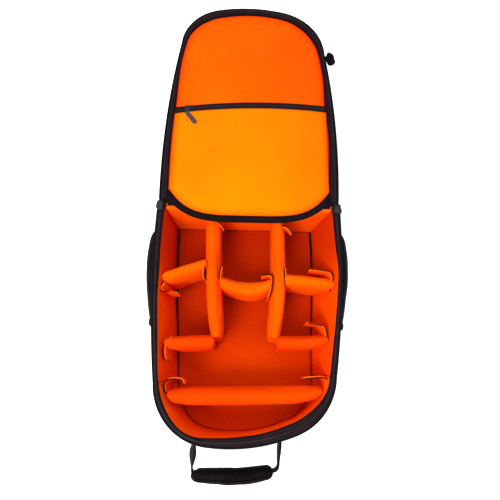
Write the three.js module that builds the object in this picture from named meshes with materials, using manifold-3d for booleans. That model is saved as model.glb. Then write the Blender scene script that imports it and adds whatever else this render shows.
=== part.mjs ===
// A photographer's backpack lying on its back, with the zipped front lid turned right over.
// Millimetres, +Z up. The lid's fold line runs along X. The compartment reaches from it towards -Y,
// to the carrying handle, and the lid reaches from it towards +Y with its lining facing up.
// In the code, v is the distance from the fold line, in either direction.
import * as THREE from "three";
import { mergeVertices } from "three/addons/utils/BufferGeometryUtils.js";
import Module from "manifold-3d";

const wasm = await Module();
wasm.setup();

// Plan outline
const WIDTH = 284; // across the rim at the fold line
const LENGTH = 353; // fold line to the far end of the compartment
const LID_LENGTH = 380; // fold line to the far end of the lid
const SIDE_TAPER = 20; // how far each side closes in
const SIDE_BOW = 5.9; // how far each side swells
const END_RADIUS = 260; // the wide arc of the far end
const END_SHIFT = -23.5; // where that arc peaks, left of the middle
const CORNER_RIGHT = 87; // corner radii
const CORNER_LEFT = 85;

// Layers, from the ground up
const HARNESS_THICK = 10;
const BACK_PANEL_THICK = 8;
const SHELL_WALL = 2.5;
const FLOOR_PAD_THICK = 8;
const CELL_DEPTH = 88; // floor pad to rim
const GAP = 0.3; // between neighbouring pieces
const BACK_LEAN = 6; // how far the shell closes in from rim to back
const BACK_ROUND = 6; // rounding of the shell's back edge
const BACK_PANEL_INSET = 16;
const BACK_PANEL_ROUND = 2.6;

// Wall padding: inner faces, measured in from the outline
const PAD_RIM = 10.4;
const PAD_RIM_END = 14.4; // at the far end
const PAD_END_SHARE = 0.8; // of the length, from where it widens
const PAD_FOOT = 24.5;
const BASE_PAD_RIM = 14;
const BASE_PAD_FOOT = 18;
const FLOOR_GROOVE = 6; // open joint round the floor pad
const FLOOR_ROUND = 2;

// Rim and zip tapes
const TAPE_THICK = 3;
const TAPE_EDGE = 0.4; // the tape's outer edge, in from the shell
const GUSSET_WIDTH = 18; // cloth fold between compartment and lid
const GUSSET_THICK = 1.8;
const SLIDER_LENGTH = 19;
const SLIDER_WIDTH = 11;
const SLIDER_HEIGHT = 6;
const SLIDER_TURN = 0.1; // how far the sliders stand out of square

// Lid
const LID_DEPTH = 34;
const LID_PAD_THICK = 10;
const LID_SWELL = 3; // how far the lid's side stands out below its zip
const BAND_FOLD = 16; // black border of the lining at the fold, at the sides and at the far end
const BAND_SIDE = 11;
const BAND_END = 15;
const BAND_TURN = 0.68; // share of the lid's length at which it is narrowest
const LINING_THICK = 2.7;
const LINING_DEPTH = 0.7; // how far the lining's underside lies below the rim
const LINING_MARGIN = 0.7; // between the black border and the padding's raised face
const LIP_LENGTH = 25; // the lining hangs out over the compartment
const LIP_HEIGHT = 42; // how much further back it starts at its sides
const LIP_POWER = 4.4;
const BINDING_LENGTH = 35.5; // as for the lip, at the binding's free edge
const BINDING_HEIGHT = 36;
const BINDING_POWER = 4;
const POCKET_ZIP_OFFSET = 172.9; // middle of the lining pocket's zip, from the fold
const POCKET_ZIP_DEPTH = 8.5; // how much nearer the fold its ends lie
const POCKET_ZIP_HEIGHT = 3.9; // how much its right end is raised
const POCKET_ZIP_WIDTH = 9.6;
const PULL_LENGTH = 24;
const PULL_WIDTH = 7;
const PULL_THICK = 2;
const PULL_SHARE = -0.84; // where the slider stands on the zip, as a share of half its length
const PULL_TURN = 0.6; // how far the pull hangs out of square
const PULL_GAP = 2.4; // between zip and pull
const FRONT_ZIP_WIDTH = 9;
const FRONT_ZIP_THICK = 1.6;
const FRONT_ZIP_DROP = 22; // below the rim
const KNOB_SHARE = 0.75; // middle of its pull, as a share of the lid's length
const KNOB_LENGTH = 32;
const KNOB_REACH = 18;
const KNOB_THICK = 6;

// Dividers
const DIVIDER_DROP = 10; // their tops lie this far under the rim
const BOARD_THICK = 19;
const TAB_THICK = 3;
const TAB_LENGTH = 25;
const TAB_HEIGHT = 0.93; // share of the divider's height
const MITRE_START = 0.25; // slanting ends of the lower cross boards, as shares of a board's thickness
const MITRE_SPAN = 1.2;

// Handle
const HANDLE_DROP = 60; // below the rim
const WEBBING_WIDTH = 25;
const WEBBING_THICK = 2.6;
const HANDLE_LEFT = -70;
const HANDLE_RIGHT = 53.5;
const HANDLE_REACH = 52; // shell to the middle of the grip
const GRIP_THICK = 20.5;
const GRIP_HEIGHT = 32;

// Side pockets
const POCKET_START = 38; // closed end, from the fold
const POCKET_END = 190; // mouth
const POCKET_LOW = 34; // heights above the ground
const POCKET_HIGH = 92;
const POCKET_BULGE = 21.3;
const POCKET_CLOTH = 1.8;
const POCKET_POWER = 0.7; // below 1, the bulge is blunt
const POCKET_SEAM = 0.02; // the pocket is open towards the shell, all but this
const HEM_LENGTH = 9;
const HEM_THICK = 3.2;
const MOUTH_CUT = 1; // how far the hollow is cut past the mouth

// Harness
const STRAP_WIDTH = 60;
const LUMBAR_HALF = 78;
const LUMBAR_START = 6;
const LUMBAR_END = 92;
const LUMBAR_CORNER = 22;
const LUMBAR_GAP = 20; // between the lumbar pad and the strap's webbing
const BUCKLE_LENGTH = 22;
const BUCKLE_WIDTH = 34;
const BUCKLE_BAR = 5;
const STRAP_WEB_THICK = 1.8;

// Heights that follow
const panelLow = HARNESS_THICK + GAP;
const panelHigh = panelLow + BACK_PANEL_THICK;
const shellLow = panelHigh + GAP;
const shellFloor = shellLow + SHELL_WALL;
const padLow = shellFloor + GAP;
const floorTop = padLow + FLOOR_PAD_THICK;
const rim = floorTop + CELL_DEPTH;
const tapeLow = rim - TAPE_THICK;
const wallTop = tapeLow - GAP;
const boardLow = floorTop + GAP;
const boardTop = rim - DIVIDER_DROP;
const lidFloor = rim - LID_DEPTH;
const liningLow = rim - LINING_DEPTH;

const { lerp, clamp } = THREE.MathUtils;

const COLOURS = {
  nylon: { color: 0x1b181d, roughness: 0.72, metalness: 0 },
  tape: { color: 0x242127, roughness: 0.6, metalness: 0 },
  mesh: { color: 0x26242a, roughness: 0.9, metalness: 0 },
  lining: { color: 0xf2560a, roughness: 0.62, metalness: 0 },
  pocket: { color: 0xff7a00, roughness: 0.6, metalness: 0 },
  floor: { color: 0xc93a05, roughness: 0.7, metalness: 0 },
  plastic: { color: 0x151416, roughness: 0.45, metalness: 0 },
  metal: { color: 0x2a282c, roughness: 0.4, metalness: 0.7 },
};

const pack = new THREE.Group();

function addMesh(name, geometry, finish) {
  const mesh = new THREE.Mesh(geometry, new THREE.MeshStandardMaterial(COLOURS[finish]));
  mesh.name = name;
  pack.add(mesh);
  return mesh;
}

// A closed surface through rings of equally many points. The two end rings are closed by a ladder
// of quads between their first and second halves.
function solidFrom(rings) {
  const count = rings[0].length;
  const positions = rings.flatMap((ring) => ring.flatMap((p) => [p.x, p.y, p.z]));
  const index = [];
  const quad = (a, b, c, d) => index.push(a, b, c, a, c, d);
  for (let k = 0; k + 1 < rings.length; k += 1) {
    for (let i = 0; i < count; i += 1) {
      const next = (i + 1) % count;
      quad(k * count + i, k * count + next, (k + 1) * count + next, (k + 1) * count + i);
    }
  }
  const last = (rings.length - 1) * count;
  for (let i = 0; i < count / 2 - 1; i += 1) {
    const far = count - 1 - i;
    quad(far, far - 1, i + 1, i);
    quad(last + i, last + i + 1, last + far - 1, last + far);
  }
  const geometry = new THREE.BufferGeometry();
  geometry.setAttribute("position", new THREE.Float32BufferAttribute(positions, 3));
  geometry.setIndex(index);
  return facingOut(geometry);
}

function facingOut(geometry) {
  const at = geometry.getAttribute("position");
  const index = geometry.index.array;
  const [a, b, c] = [new THREE.Vector3(), new THREE.Vector3(), new THREE.Vector3()];
  let volume = 0;
  for (let i = 0; i < index.length; i += 3) {
    a.fromBufferAttribute(at, index[i]);
    b.fromBufferAttribute(at, index[i + 1]);
    c.fromBufferAttribute(at, index[i + 2]);
    volume += a.dot(b.cross(c));
  }
  if (volume < 0) {
    geometry.setIndex([...index].reverse());
  }
  return geometry;
}

const WELD = 1e-4;

function toSolid(geometry) {
  const bare = geometry.clone();
  bare.deleteAttribute("normal");
  bare.deleteAttribute("uv");
  const merged = mergeVertices(bare, WELD);
  return new wasm.Manifold(
    new wasm.Mesh({
      numProp: 3,
      vertProperties: new Float32Array(merged.getAttribute("position").array),
      triVerts: new Uint32Array(merged.index.array),
    }),
  );
}

function toGeometry(solid) {
  const mesh = solid.getMesh();
  const geometry = new THREE.BufferGeometry();
  geometry.setAttribute("position", new THREE.Float32BufferAttribute(mesh.vertProperties, 3));
  geometry.setIndex([...mesh.triVerts]);
  return geometry;
}

function joined(geometries) {
  return toGeometry(geometries.map(toSolid).reduce((whole, next) => whole.add(next)));
}

function cutFrom(geometry, tool) {
  return toGeometry(toSolid(geometry).subtract(toSolid(tool)));
}

// Outline of compartment and lid: two tapering sides, two corner arcs and a wide end arc

const SIDE_STEPS = 4;
const CORNER_STEPS = 6;
const END_STEPS = 5;

function cornerOf(length, side) {
  const radius = side > 0 ? CORNER_RIGHT : CORNER_LEFT;
  const lean = Math.atan(SIDE_TAPER / length);
  const along = new THREE.Vector2(-side * Math.sin(lean), Math.cos(lean));
  const inward = new THREE.Vector2(-side * Math.cos(lean), -Math.sin(lean));
  const endCentre = new THREE.Vector2(END_SHIFT, length - END_RADIUS);
  const from = new THREE.Vector2((side * WIDTH) / 2, 0).addScaledVector(inward, radius).sub(endCentre);
  const reach = from.dot(along);
  const travel = Math.sqrt(reach ** 2 - from.lengthSq() + (END_RADIUS - radius) ** 2) - reach;
  const centre = from.addScaledVector(along, travel);
  const endAngle = Math.atan2(centre.y, centre.x);
  return { radius, along, inward, endCentre, endAngle, travel, centre: centre.add(endCentre) };
}

// A point of a side, by its distance along it and how far in from the outline it lies.
function sidePoint(length, side, travel, inset) {
  const corner = cornerOf(length, side);
  const share = clamp(travel / corner.travel, 0, 1);
  const bow = SIDE_BOW * 4 * share * (1 - share);
  return new THREE.Vector2((side * WIDTH) / 2, 0)
    .addScaledVector(corner.along, travel)
    .addScaledVector(corner.inward, inset - bow);
}

// The travel along a side at which a line set in by inset is v from the fold.
function travelAt(length, side, v, inset) {
  const { along, inward } = cornerOf(length, side);
  return (v - inward.y * inset) / along.y;
}

// The outline as x and v, from the right end of the fold round to the left one.
// inset is a distance, or a function of the share of the length.
function outline(length, inset, start) {
  const insetAt = typeof inset === "function" ? inset : () => inset;
  const [right, left] = [cornerOf(length, 1), cornerOf(length, -1)];
  const sideRow = (side, corner) => {
    const first = travelAt(length, side, start, insetAt(0));
    return Array.from({ length: SIDE_STEPS + 1 }, (_, k) => {
      const travel = lerp(first, corner.travel, k / SIDE_STEPS);
      return sidePoint(length, side, travel, insetAt(travel / length));
    });
  };
  const arc = (centre, radius, from, to, steps) =>
    Array.from({ length: steps }, (_, k) => {
      const angle = lerp(from, to, (k + 1) / steps);
      const out = new THREE.Vector2(Math.cos(angle), Math.sin(angle));
      const v = centre.y + radius * out.y;
      return centre.clone().addScaledVector(out, radius - insetAt(v / length));
    });
  const rightStart = Math.atan2(-right.inward.y, -right.inward.x);
  const leftStart = Math.atan2(-left.inward.y, -left.inward.x);
  return [
    ...sideRow(1, right),
    ...arc(right.centre, right.radius, rightStart, right.endAngle, CORNER_STEPS),
    ...arc(right.endCentre, END_RADIUS, right.endAngle, left.endAngle, END_STEPS),
    ...arc(left.centre, left.radius, left.endAngle, leftStart, CORNER_STEPS),
    ...sideRow(-1, left).reverse().slice(1),
  ];
}

const bodyRing = (points, z) => points.map((p) => new THREE.Vector3(p.x, -p.y, z));
const lidRing = (points, z) => points.map((p) => new THREE.Vector3(p.x, p.y, z));

// How far the shell's side lies in from the outline at height z.
function leanAt(z) {
  const lean = BACK_LEAN * clamp((rim - z) / (rim - shellLow), 0, 1);
  const low = clamp((shellLow + BACK_ROUND - z) / BACK_ROUND, 0, 1);
  return lean + BACK_ROUND * low;
}

const padShare = (z) => clamp((rim - z) / (rim - padLow), 0, 1);
const padRim = (share) => {
  const end = clamp((share - PAD_END_SHARE) / (1 - PAD_END_SHARE), 0, 1);
  return lerp(PAD_RIM, PAD_RIM_END, end);
};
const padFace = (z, share = 0) => lerp(padRim(share), PAD_FOOT, padShare(z));
const baseFace = (z) => lerp(BASE_PAD_RIM, BASE_PAD_FOOT, padShare(z));
const padBack = (z) => leanAt(z) + SHELL_WALL + GAP;

// Where an outline's right or left half lies at a distance v from the fold.
function edgeX(points, side, v) {
  const half = side > 0 ? points.slice(0, points.length / 2) : points.slice(points.length / 2).reverse();
  const { a, b, t } = between(half, "y", v);
  return lerp(a.x, b.x, t);
}

// The compartment wall's inner face on one side at a distance v from the fold.
const faceOutlines = new Map();
function wallX(side, v, z) {
  const key = z.toFixed(3);
  if (!faceOutlines.has(key)) {
    faceOutlines.set(key, outline(LENGTH, (share) => padFace(z, share), baseFace(z)));
  }
  return edgeX(faceOutlines.get(key), side, v);
}

// Shell of the compartment: a flaring tray of nylon

function bodyShell() {
  const outer = [shellLow, shellLow + BACK_ROUND, wallTop];
  const inner = [wallTop, shellLow + BACK_ROUND, shellFloor];
  return solidFrom([
    ...outer.map((z) => bodyRing(outline(LENGTH, leanAt(z), leanAt(z)), z)),
    ...inner.map((z) => {
      const inset = leanAt(z) + SHELL_WALL;
      return bodyRing(outline(LENGTH, inset, inset), z);
    }),
  ]);
}

// Wall padding

const padLevels = [padLow, shellLow + BACK_ROUND, wallTop];

function sideWallPad(side) {
  const { travel } = cornerOf(LENGTH, side);
  const row = (inset, start) => {
    const first = travelAt(LENGTH, side, start, inset);
    return Array.from({ length: SIDE_STEPS + 1 }, (_, k) =>
      sidePoint(LENGTH, side, lerp(first, travel - GAP, k / SIDE_STEPS), inset),
    );
  };
  const ring = (z) => {
    const back = row(padBack(z), padBack(z));
    const face = row(padFace(z), padBack(z));
    return bodyRing([...back, ...face.reverse()], z);
  };
  return solidFrom(padLevels.map(ring));
}

function endWallPad() {
  const ring = (z) => {
    const stretch = (inset) => outline(LENGTH, inset, padBack(z)).slice(SIDE_STEPS, -SIDE_STEPS);
    const face = stretch((share) => padFace(z, share));
    return bodyRing([...stretch(padBack(z)), ...face.reverse()], z);
  };
  return solidFrom(padLevels.map(ring));
}

function baseWallPad() {
  const ring = (z) => {
    const point = (side, v) => {
      const face = padFace(z) + GAP;
      return sidePoint(LENGTH, side, travelAt(LENGTH, side, v, face), face);
    };
    const [back, face] = [padBack(z), baseFace(z)];
    return bodyRing([point(1, back), point(1, face), point(-1, face), point(-1, back)], z);
  };
  return solidFrom(padLevels.map(ring));
}

function floorPad() {
  const inset = PAD_FOOT + FLOOR_GROOVE;
  const start = BASE_PAD_FOOT + FLOOR_GROOVE;
  const ring = (z, round) => bodyRing(outline(LENGTH, inset + round, start + round), z);
  return solidFrom([ring(padLow, 0), ring(floorTop - FLOOR_ROUND, 0), ring(floorTop, FLOOR_ROUND)]);
}

// Dividers: padded boards with rounded tops. Each stands on the floor pad, and its ends
// turn into thin tabs that cling to the neighbouring wall or board.

const BOARD_CROWN = [
  { rise: 0, full: 1 },
  { rise: 0.86, full: 1 },
  { rise: 0.95, full: 0.84 },
  { rise: 1, full: 0.45 },
];

// Long boards: x as a share of half the width, v of the length, thick of a board's thickness.
// turn is how far the two edges of the cut end run on, as a share of the thickness.
const LONG_LEFT = [
  { v: 0.05, x: -0.392, thick: 1.02, turn: 0 },
  { v: 0.116, x: -0.386, thick: 1.02, turn: 0 },
  { v: 0.273, x: -0.369, thick: 0.98, turn: 0 },
  { v: 0.415, x: -0.349, thick: 0.97, turn: 0 },
  { v: 0.52, x: -0.321, thick: 0.94, turn: 0 },
  { v: 0.588, x: -0.296, thick: 0.8, turn: 0.26 },
];
const LONG_RIGHT = [
  { v: 0.05, x: 0.329, thick: 0.95, turn: 0 },
  { v: 0.121, x: 0.333, thick: 0.93, turn: 0 },
  { v: 0.266, x: 0.335, thick: 0.95, turn: 0 },
  { v: 0.41, x: 0.33, thick: 0.98, turn: 0 },
  { v: 0.514, x: 0.309, thick: 0.94, turn: 0 },
  { v: 0.588, x: 0.283, thick: 0.88, turn: -0.26 },
];

// Cross boards: along runs from the first end to the second, v and thick as above.
const CROSS_UPPER_LEFT = [
  { along: 0, v: 0.346, thick: 0.8 },
  { along: 0.12, v: 0.342, thick: 1.04 },
  { along: 0.5, v: 0.318, thick: 1 },
  { along: 1, v: 0.293, thick: 0.92 },
];
const CROSS_CENTRE = [
  { along: 0, v: 0.36, thick: 1.1 },
  { along: 0.16, v: 0.376, thick: 1.16 },
  { along: 0.38, v: 0.392, thick: 1.16 },
  { along: 0.6, v: 0.397, thick: 1.16 },
  { along: 0.84, v: 0.389, thick: 1.12 },
  { along: 1, v: 0.364, thick: 1.05 },
];
const CROSS_UPPER_RIGHT = [
  { along: 0, v: 0.342, thick: 1.18 },
  { along: 0.45, v: 0.35, thick: 1.18 },
  { along: 0.86, v: 0.361, thick: 1.16 },
  { along: 1, v: 0.364, thick: 0.8 },
];
const CROSS_LOWER_LEFT = [
  { along: 0, v: 0.61, thick: 0.7 },
  { along: 0.12, v: 0.611, thick: 0.98 },
  { along: 0.55, v: 0.607, thick: 1.04 },
  { along: 1, v: 0.604, thick: 0.9 },
];
const CROSS_LOWER_RIGHT = [
  { along: 0, v: 0.604, thick: 0.9 },
  { along: 0.5, v: 0.602, thick: 0.98 },
  { along: 0.87, v: 0.594, thick: 0.94 },
  { along: 1, v: 0.587, thick: 0.68 },
];
const FULL_WIDTH = [
  { along: 0, v: 0.815, thick: 0.8 },
  { along: 0.1, v: 0.812, thick: 1.04 },
  { along: 0.5, v: 0.803, thick: 1.08 },
  { along: 0.88, v: 0.788, thick: 1.04 },
  { along: 1, v: 0.777, thick: 0.8 },
];

// The two neighbours of a place in a list that ascends by key, and how far it lies between them.
function between(list, key, place) {
  const after = list.findIndex((row) => row[key] > place);
  const k = after < 0 ? list.length - 1 : Math.max(after, 1);
  const [a, b] = [list[k - 1], list[k]];
  return { a, b, t: clamp((place - a[key]) / (b[key] - a[key]), 0, 1) };
}

// Centre line and thickness of a long board at distance v from the fold.
function longAt(table, v) {
  const { a, b, t } = between(table, "v", v / LENGTH);
  return { x: (lerp(a.x, b.x, t) * WIDTH) / 2, thick: lerp(a.thick, b.thick, t) * BOARD_THICK };
}

const longFace = (table, side, v) => {
  const { x, thick } = longAt(table, v);
  return x + side * (thick / 2 + GAP);
};

// A board from a function that gives, at height z and fullness, its pairs of edge points.
function board(pairsAt, crown = BOARD_CROWN) {
  return solidFrom(
    crown.map(({ rise, full }) => {
      const z = lerp(boardLow, boardTop, rise);
      const pairs = pairsAt(z, full);
      return bodyRing([...pairs.map((p) => p[0]), ...pairs.map((p) => p[1]).reverse()], z);
    }),
  );
}

function longBoard(table) {
  return board((z, full) =>
    table.map((row, i) => {
      const half = (row.thick * BOARD_THICK * full) / 2;
      const x = (row.x * WIDTH) / 2;
      const v = i === 0 ? baseFace(z) + GAP : row.v * LENGTH;
      const turn = row.turn * BOARD_THICK;
      return [new THREE.Vector2(x - half, v - turn), new THREE.Vector2(x + half, v + turn)];
    }),
  );
}

// endX(end, v, z) says where the board's two ends stop at distance v and height z.
function crossBoard(table, endX) {
  return board((z, full) =>
    table.map(({ along, v, thick }) => {
      const half = (thick * BOARD_THICK * full) / 2;
      return [-half, half].map((step) => {
        const at = v * LENGTH + step;
        return new THREE.Vector2(lerp(endX(0, at, z), endX(1, at, z), along), at);
      });
    }),
  );
}

const TAB_CROWN = [
  { rise: 0, full: 1 },
  { rise: TAB_HEIGHT, full: 1 },
];
const TAB_STEPS = 3;

// A tab along X = face(v, z), growing to one side. It reaches from its board's edge towards
// the fold and away from it, by shares of a tab's length.
function tab(face, side, edge, { towards, away }) {
  const from = edge - towards * TAB_LENGTH;
  const to = edge + away * TAB_LENGTH;
  return board((z) =>
    Array.from({ length: TAB_STEPS + 1 }, (_, k) => {
      const v = lerp(from, to, k / TAB_STEPS);
      const x = face(v, z);
      return [new THREE.Vector2(x, v), new THREE.Vector2(x + side * TAB_THICK, v)];
    }), TAB_CROWN);
}

// A tab that clings to the base wall, from a board's centre line at x to one side of it.
function baseTab(x) {
  return board((z) => {
    const face = baseFace(z) + GAP;
    return [0, TAB_LENGTH].map((step) =>
      [face, face + TAB_THICK].map((v) => new THREE.Vector2(x + step, v)));
  }, TAB_CROWN);
}

const leftWall = (v, z) => wallX(-1, v, z) + GAP;
const rightWall = (v, z) => wallX(1, v, z) - GAP;

function buildDividers() {
  const long = [
    { name: "divider_long_left", table: LONG_LEFT },
    { name: "divider_long_right", table: LONG_RIGHT },
  ];
  for (const { name, table } of long) {
    const start = longAt(table, 0);
    addMesh(name, joined([longBoard(table), baseTab(start.x)]), "lining");
  }
  const edge = (table, row, side) => {
    const { v, thick } = table[row];
    return v * LENGTH + (side * thick * BOARD_THICK) / 2;
  };
  const even = { towards: 0.5, away: 0.5 };
  const leftOut = (v) => longFace(LONG_LEFT, -1, v);
  const leftIn = (v) => longFace(LONG_LEFT, 1, v);
  const rightIn = (v) => longFace(LONG_RIGHT, -1, v);
  const rightOut = (v) => longFace(LONG_RIGHT, 1, v);

  const upperLeft = edge(CROSS_UPPER_LEFT, 0, 1);
  const upperLeftIn = edge(CROSS_UPPER_LEFT, 3, -1);
  addMesh("divider_cross_upper_left", joined([
    crossBoard(CROSS_UPPER_LEFT, (end, v, z) => (end ? leftOut(v) : leftWall(v, z))),
    tab(leftWall, 1, upperLeft, even),
    tab(leftOut, -1, upperLeftIn, { towards: 0, away: 1.2 }),
  ]), "lining");

  const centreFar = edge(CROSS_CENTRE, 0, -1);
  const centreFarRight = edge(CROSS_CENTRE, 5, -1);
  addMesh("divider_cross_centre", joined([
    crossBoard(CROSS_CENTRE, (end, v) => (end ? rightIn(v) : leftIn(v))),
    tab(leftIn, 1, centreFar, even),
    tab(rightIn, -1, centreFarRight, { towards: 0.33, away: 0.5 }),
  ]), "lining");

  const upperRight = edge(CROSS_UPPER_RIGHT, 0, -1);
  const upperRightWall = edge(CROSS_UPPER_RIGHT, 3, -1);
  addMesh("divider_cross_upper_right", joined([
    crossBoard(CROSS_UPPER_RIGHT, (end, v, z) => (end ? rightWall(v, z) : rightOut(v))),
    tab(rightOut, 1, upperRight, { towards: 0.25, away: 0.5 }),
    tab(rightWall, -1, upperRightWall, even),
  ]), "lining");

  // The two lower cross boards meet the cut ends of the long ones, so their inner ends slant.
  const mitre = (table, side, v) => {
    const last = table[table.length - 1];
    const start = last.v * LENGTH - MITRE_START * BOARD_THICK;
    const slant = clamp((v - start) / (MITRE_SPAN * BOARD_THICK), 0, 1);
    return longFace(table, side, last.v * LENGTH) - side * slant * last.thick * BOARD_THICK;
  };
  const lowerLeft = edge(CROSS_LOWER_LEFT, 0, 1);
  addMesh("divider_cross_lower_left", joined([
    crossBoard(CROSS_LOWER_LEFT, (end, v, z) => (end ? mitre(LONG_LEFT, -1, v) : leftWall(v, z))),
    tab(leftWall, 1, lowerLeft, { towards: 0.5, away: 0.7 }),
  ]), "lining");

  const lowerRight = edge(CROSS_LOWER_RIGHT, 3, -1);
  addMesh("divider_cross_lower_right", joined([
    crossBoard(CROSS_LOWER_RIGHT, (end, v, z) => (end ? rightWall(v, z) : mitre(LONG_RIGHT, 1, v))),
    tab(rightWall, -1, lowerRight, even),
  ]), "lining");

  const fullLeft = edge(FULL_WIDTH, 0, -1);
  const fullRight = edge(FULL_WIDTH, 4, -1);
  addMesh("divider_full_width", joined([
    crossBoard(FULL_WIDTH, (end, v, z) => (end ? rightWall(v, z) : leftWall(v, z))),
    tab(leftWall, 1, fullLeft, even),
    tab(rightWall, -1, fullRight, even),
  ]), "lining");
}

// Zip tapes: flat bands that follow an outline round from one end of the fold to the other

function zipBand(length, ringOf, outerInset, innerInset, start) {
  const ring = (z) => {
    const outer = outline(length, outerInset, start);
    const inner = outline(length, innerInset, start);
    return ringOf([...outer, ...inner.reverse()], z);
  };
  return solidFrom([ring(tapeLow), ring(rim)]);
}

function slider(x, y, turn) {
  const body = new THREE.BoxGeometry(SLIDER_WIDTH, SLIDER_LENGTH, SLIDER_HEIGHT);
  body.rotateZ(turn);
  body.translate(x, y, rim + GAP + SLIDER_HEIGHT / 2);
  return body;
}

// Lid

const bandInner = (share) => {
  if (share < BAND_TURN) {
    return lerp(BAND_FOLD, BAND_SIDE, clamp(share / BAND_TURN, 0, 1));
  }
  return lerp(BAND_SIDE, BAND_END, clamp((share - BAND_TURN) / (1 - BAND_TURN), 0, 1));
};
const lidStart = GAP * 2;

// Half the width of the lining pocket: it fills the space between the borders at its zip.
const zipShare = POCKET_ZIP_OFFSET / LID_LENGTH;
const liningHalf = sidePoint(LID_LENGTH, 1, POCKET_ZIP_OFFSET, bandInner(zipShare)).x - 2 * GAP;

const LID_FORM = [
  { drop: 1, out: 0.1 },
  { drop: 0.8, out: 0.85 },
  { drop: 0.4, out: 1 },
];

function lidShell() {
  const side = LID_FORM.map(({ drop, out }) => ({
    z: rim - drop * LID_DEPTH,
    inset: LID_SWELL * (1 - out),
  }));
  const levels = [...side, { z: wallTop, inset: LID_SWELL }];
  const inside = [...levels].reverse();
  inside[inside.length - 1] = { z: lidFloor + SHELL_WALL, inset: inside[inside.length - 1].inset };
  return solidFrom([
    ...levels.map(({ z, inset }) => lidRing(outline(LID_LENGTH, inset, lidStart), z)),
    ...inside.map(({ z, inset }) => {
      const wall = inset + SHELL_WALL;
      return lidRing(outline(LID_LENGTH, wall, lidStart + SHELL_WALL), z);
    }),
  ]);
}

function lidPad() {
  const wall = LID_SWELL + SHELL_WALL + GAP;
  const start = lidStart + SHELL_WALL + GAP;
  const inner = (share) => bandInner(share) + LINING_MARGIN;
  const innerStart = GUSSET_WIDTH / 2 + GAP;
  const full = outline(LID_LENGTH, wall, start);
  const crown = outline(LID_LENGTH, inner, innerStart);
  return solidFrom([
    lidRing(full, wallTop - LID_PAD_THICK),
    lidRing(full, wallTop),
    lidRing(crown, wallTop),
    lidRing(crown, liningLow - GAP),
  ]);
}

// Curves across the lid, x given as a share of half the lining's width
const lipAt = (s) => LIP_HEIGHT * Math.abs(s) ** LIP_POWER - LIP_LENGTH;
const bindingAt = (s) => BINDING_HEIGHT * Math.abs(s) ** BINDING_POWER - BINDING_LENGTH;
const pocketZipAt = (s) => POCKET_ZIP_OFFSET - POCKET_ZIP_DEPTH * s * s + POCKET_ZIP_HEIGHT * s;

const ACROSS = [-1, -0.93, -0.82, -0.66, -0.4, 0, 0.4, 0.66, 0.82, 0.93, 1];

// A sheet across the lid between two curves.
function acrossLid(lower, upper, low, high, half = liningHalf) {
  const ring = (z) => {
    const edge = (curve) => ACROSS.map((s) => new THREE.Vector2(s * half, curve(s)));
    return lidRing([...edge(lower), ...edge(upper).reverse()], z);
  };
  return solidFrom([ring(low), ring(high)]);
}

function buildLid() {
  addMesh("lid_shell", lidShell(), "nylon");
  addMesh("lid_pad", lidPad(), "lining");
  const liningHigh = liningLow + LINING_THICK;
  const zipHalf = POCKET_ZIP_WIDTH / 2;
  addMesh("lid_pocket_panel",
    acrossLid(lipAt, (s) => pocketZipAt(s) - zipHalf - GAP, liningLow, liningHigh), "pocket");
  addMesh("lid_pocket_zip", acrossLid(
    (s) => pocketZipAt(s) - zipHalf,
    (s) => pocketZipAt(s) + zipHalf,
    liningLow, liningHigh,
  ), "tape");
  addMesh("lid_binding", acrossLid(bindingAt, (s) => lipAt(s) - GAP, liningLow, liningHigh), "tape");

  const pullX = PULL_SHARE * liningHalf;
  const pullV = pocketZipAt(PULL_SHARE);
  const carriage = new THREE.BoxGeometry(SLIDER_WIDTH, POCKET_ZIP_WIDTH, SLIDER_HEIGHT / 2);
  carriage.translate(pullX, pullV, liningHigh + GAP + SLIDER_HEIGHT / 4);
  addMesh("lid_pocket_slider", carriage, "metal");
  const pull = new THREE.BoxGeometry(PULL_WIDTH, PULL_LENGTH, PULL_THICK);
  pull.translate(0, -PULL_LENGTH / 2, 0);
  pull.rotateZ(PULL_TURN);
  pull.translate(pullX, pullV - zipHalf - PULL_GAP, liningHigh + GAP + PULL_THICK / 2);
  addMesh("lid_pocket_pull", pull, "plastic");

  // A zip round the lid's side, under the rim, closes the pocket in its front.
  const zipZ = rim - FRONT_ZIP_DROP;
  const low = zipZ - FRONT_ZIP_WIDTH / 2;
  const stretch = (inset) => {
    const all = outline(LID_LENGTH, inset, lidStart);
    return all.slice(SIDE_STEPS - 1, -(SIDE_STEPS - 1));
  };
  const ring = (z) => {
    const outer = stretch(-GAP - FRONT_ZIP_THICK);
    const inner = stretch(-GAP);
    return lidRing([...outer, ...inner.reverse()], z);
  };
  addMesh("front_pocket_zip", solidFrom([ring(low), ring(low + FRONT_ZIP_WIDTH)]), "tape");
  const knobV = KNOB_SHARE * LID_LENGTH;
  const zipOutside = outline(LID_LENGTH, -FRONT_ZIP_THICK - 2 * GAP, lidStart);
  const knobFoot = edgeX(zipOutside, 1, knobV - KNOB_LENGTH / 2);
  const knob = new THREE.CapsuleGeometry(KNOB_THICK / 2, KNOB_LENGTH - KNOB_THICK, 3, 8);
  knob.scale(KNOB_REACH / KNOB_THICK, 1, 1);
  knob.translate(knobFoot + KNOB_REACH / 2, knobV, zipZ);
  addMesh("front_pocket_pull", knob, "plastic");
}

// Carrying handle: webbing that leaves the shell, turns through the grip and comes back

function shellEnd(x, z) {
  const points = outline(LENGTH, leanAt(z), leanAt(z)).slice(SIDE_STEPS, -SIDE_STEPS);
  const { a, b, t } = between(points.reverse(), "x", x);
  return lerp(a.y, b.y, t);
}

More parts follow.
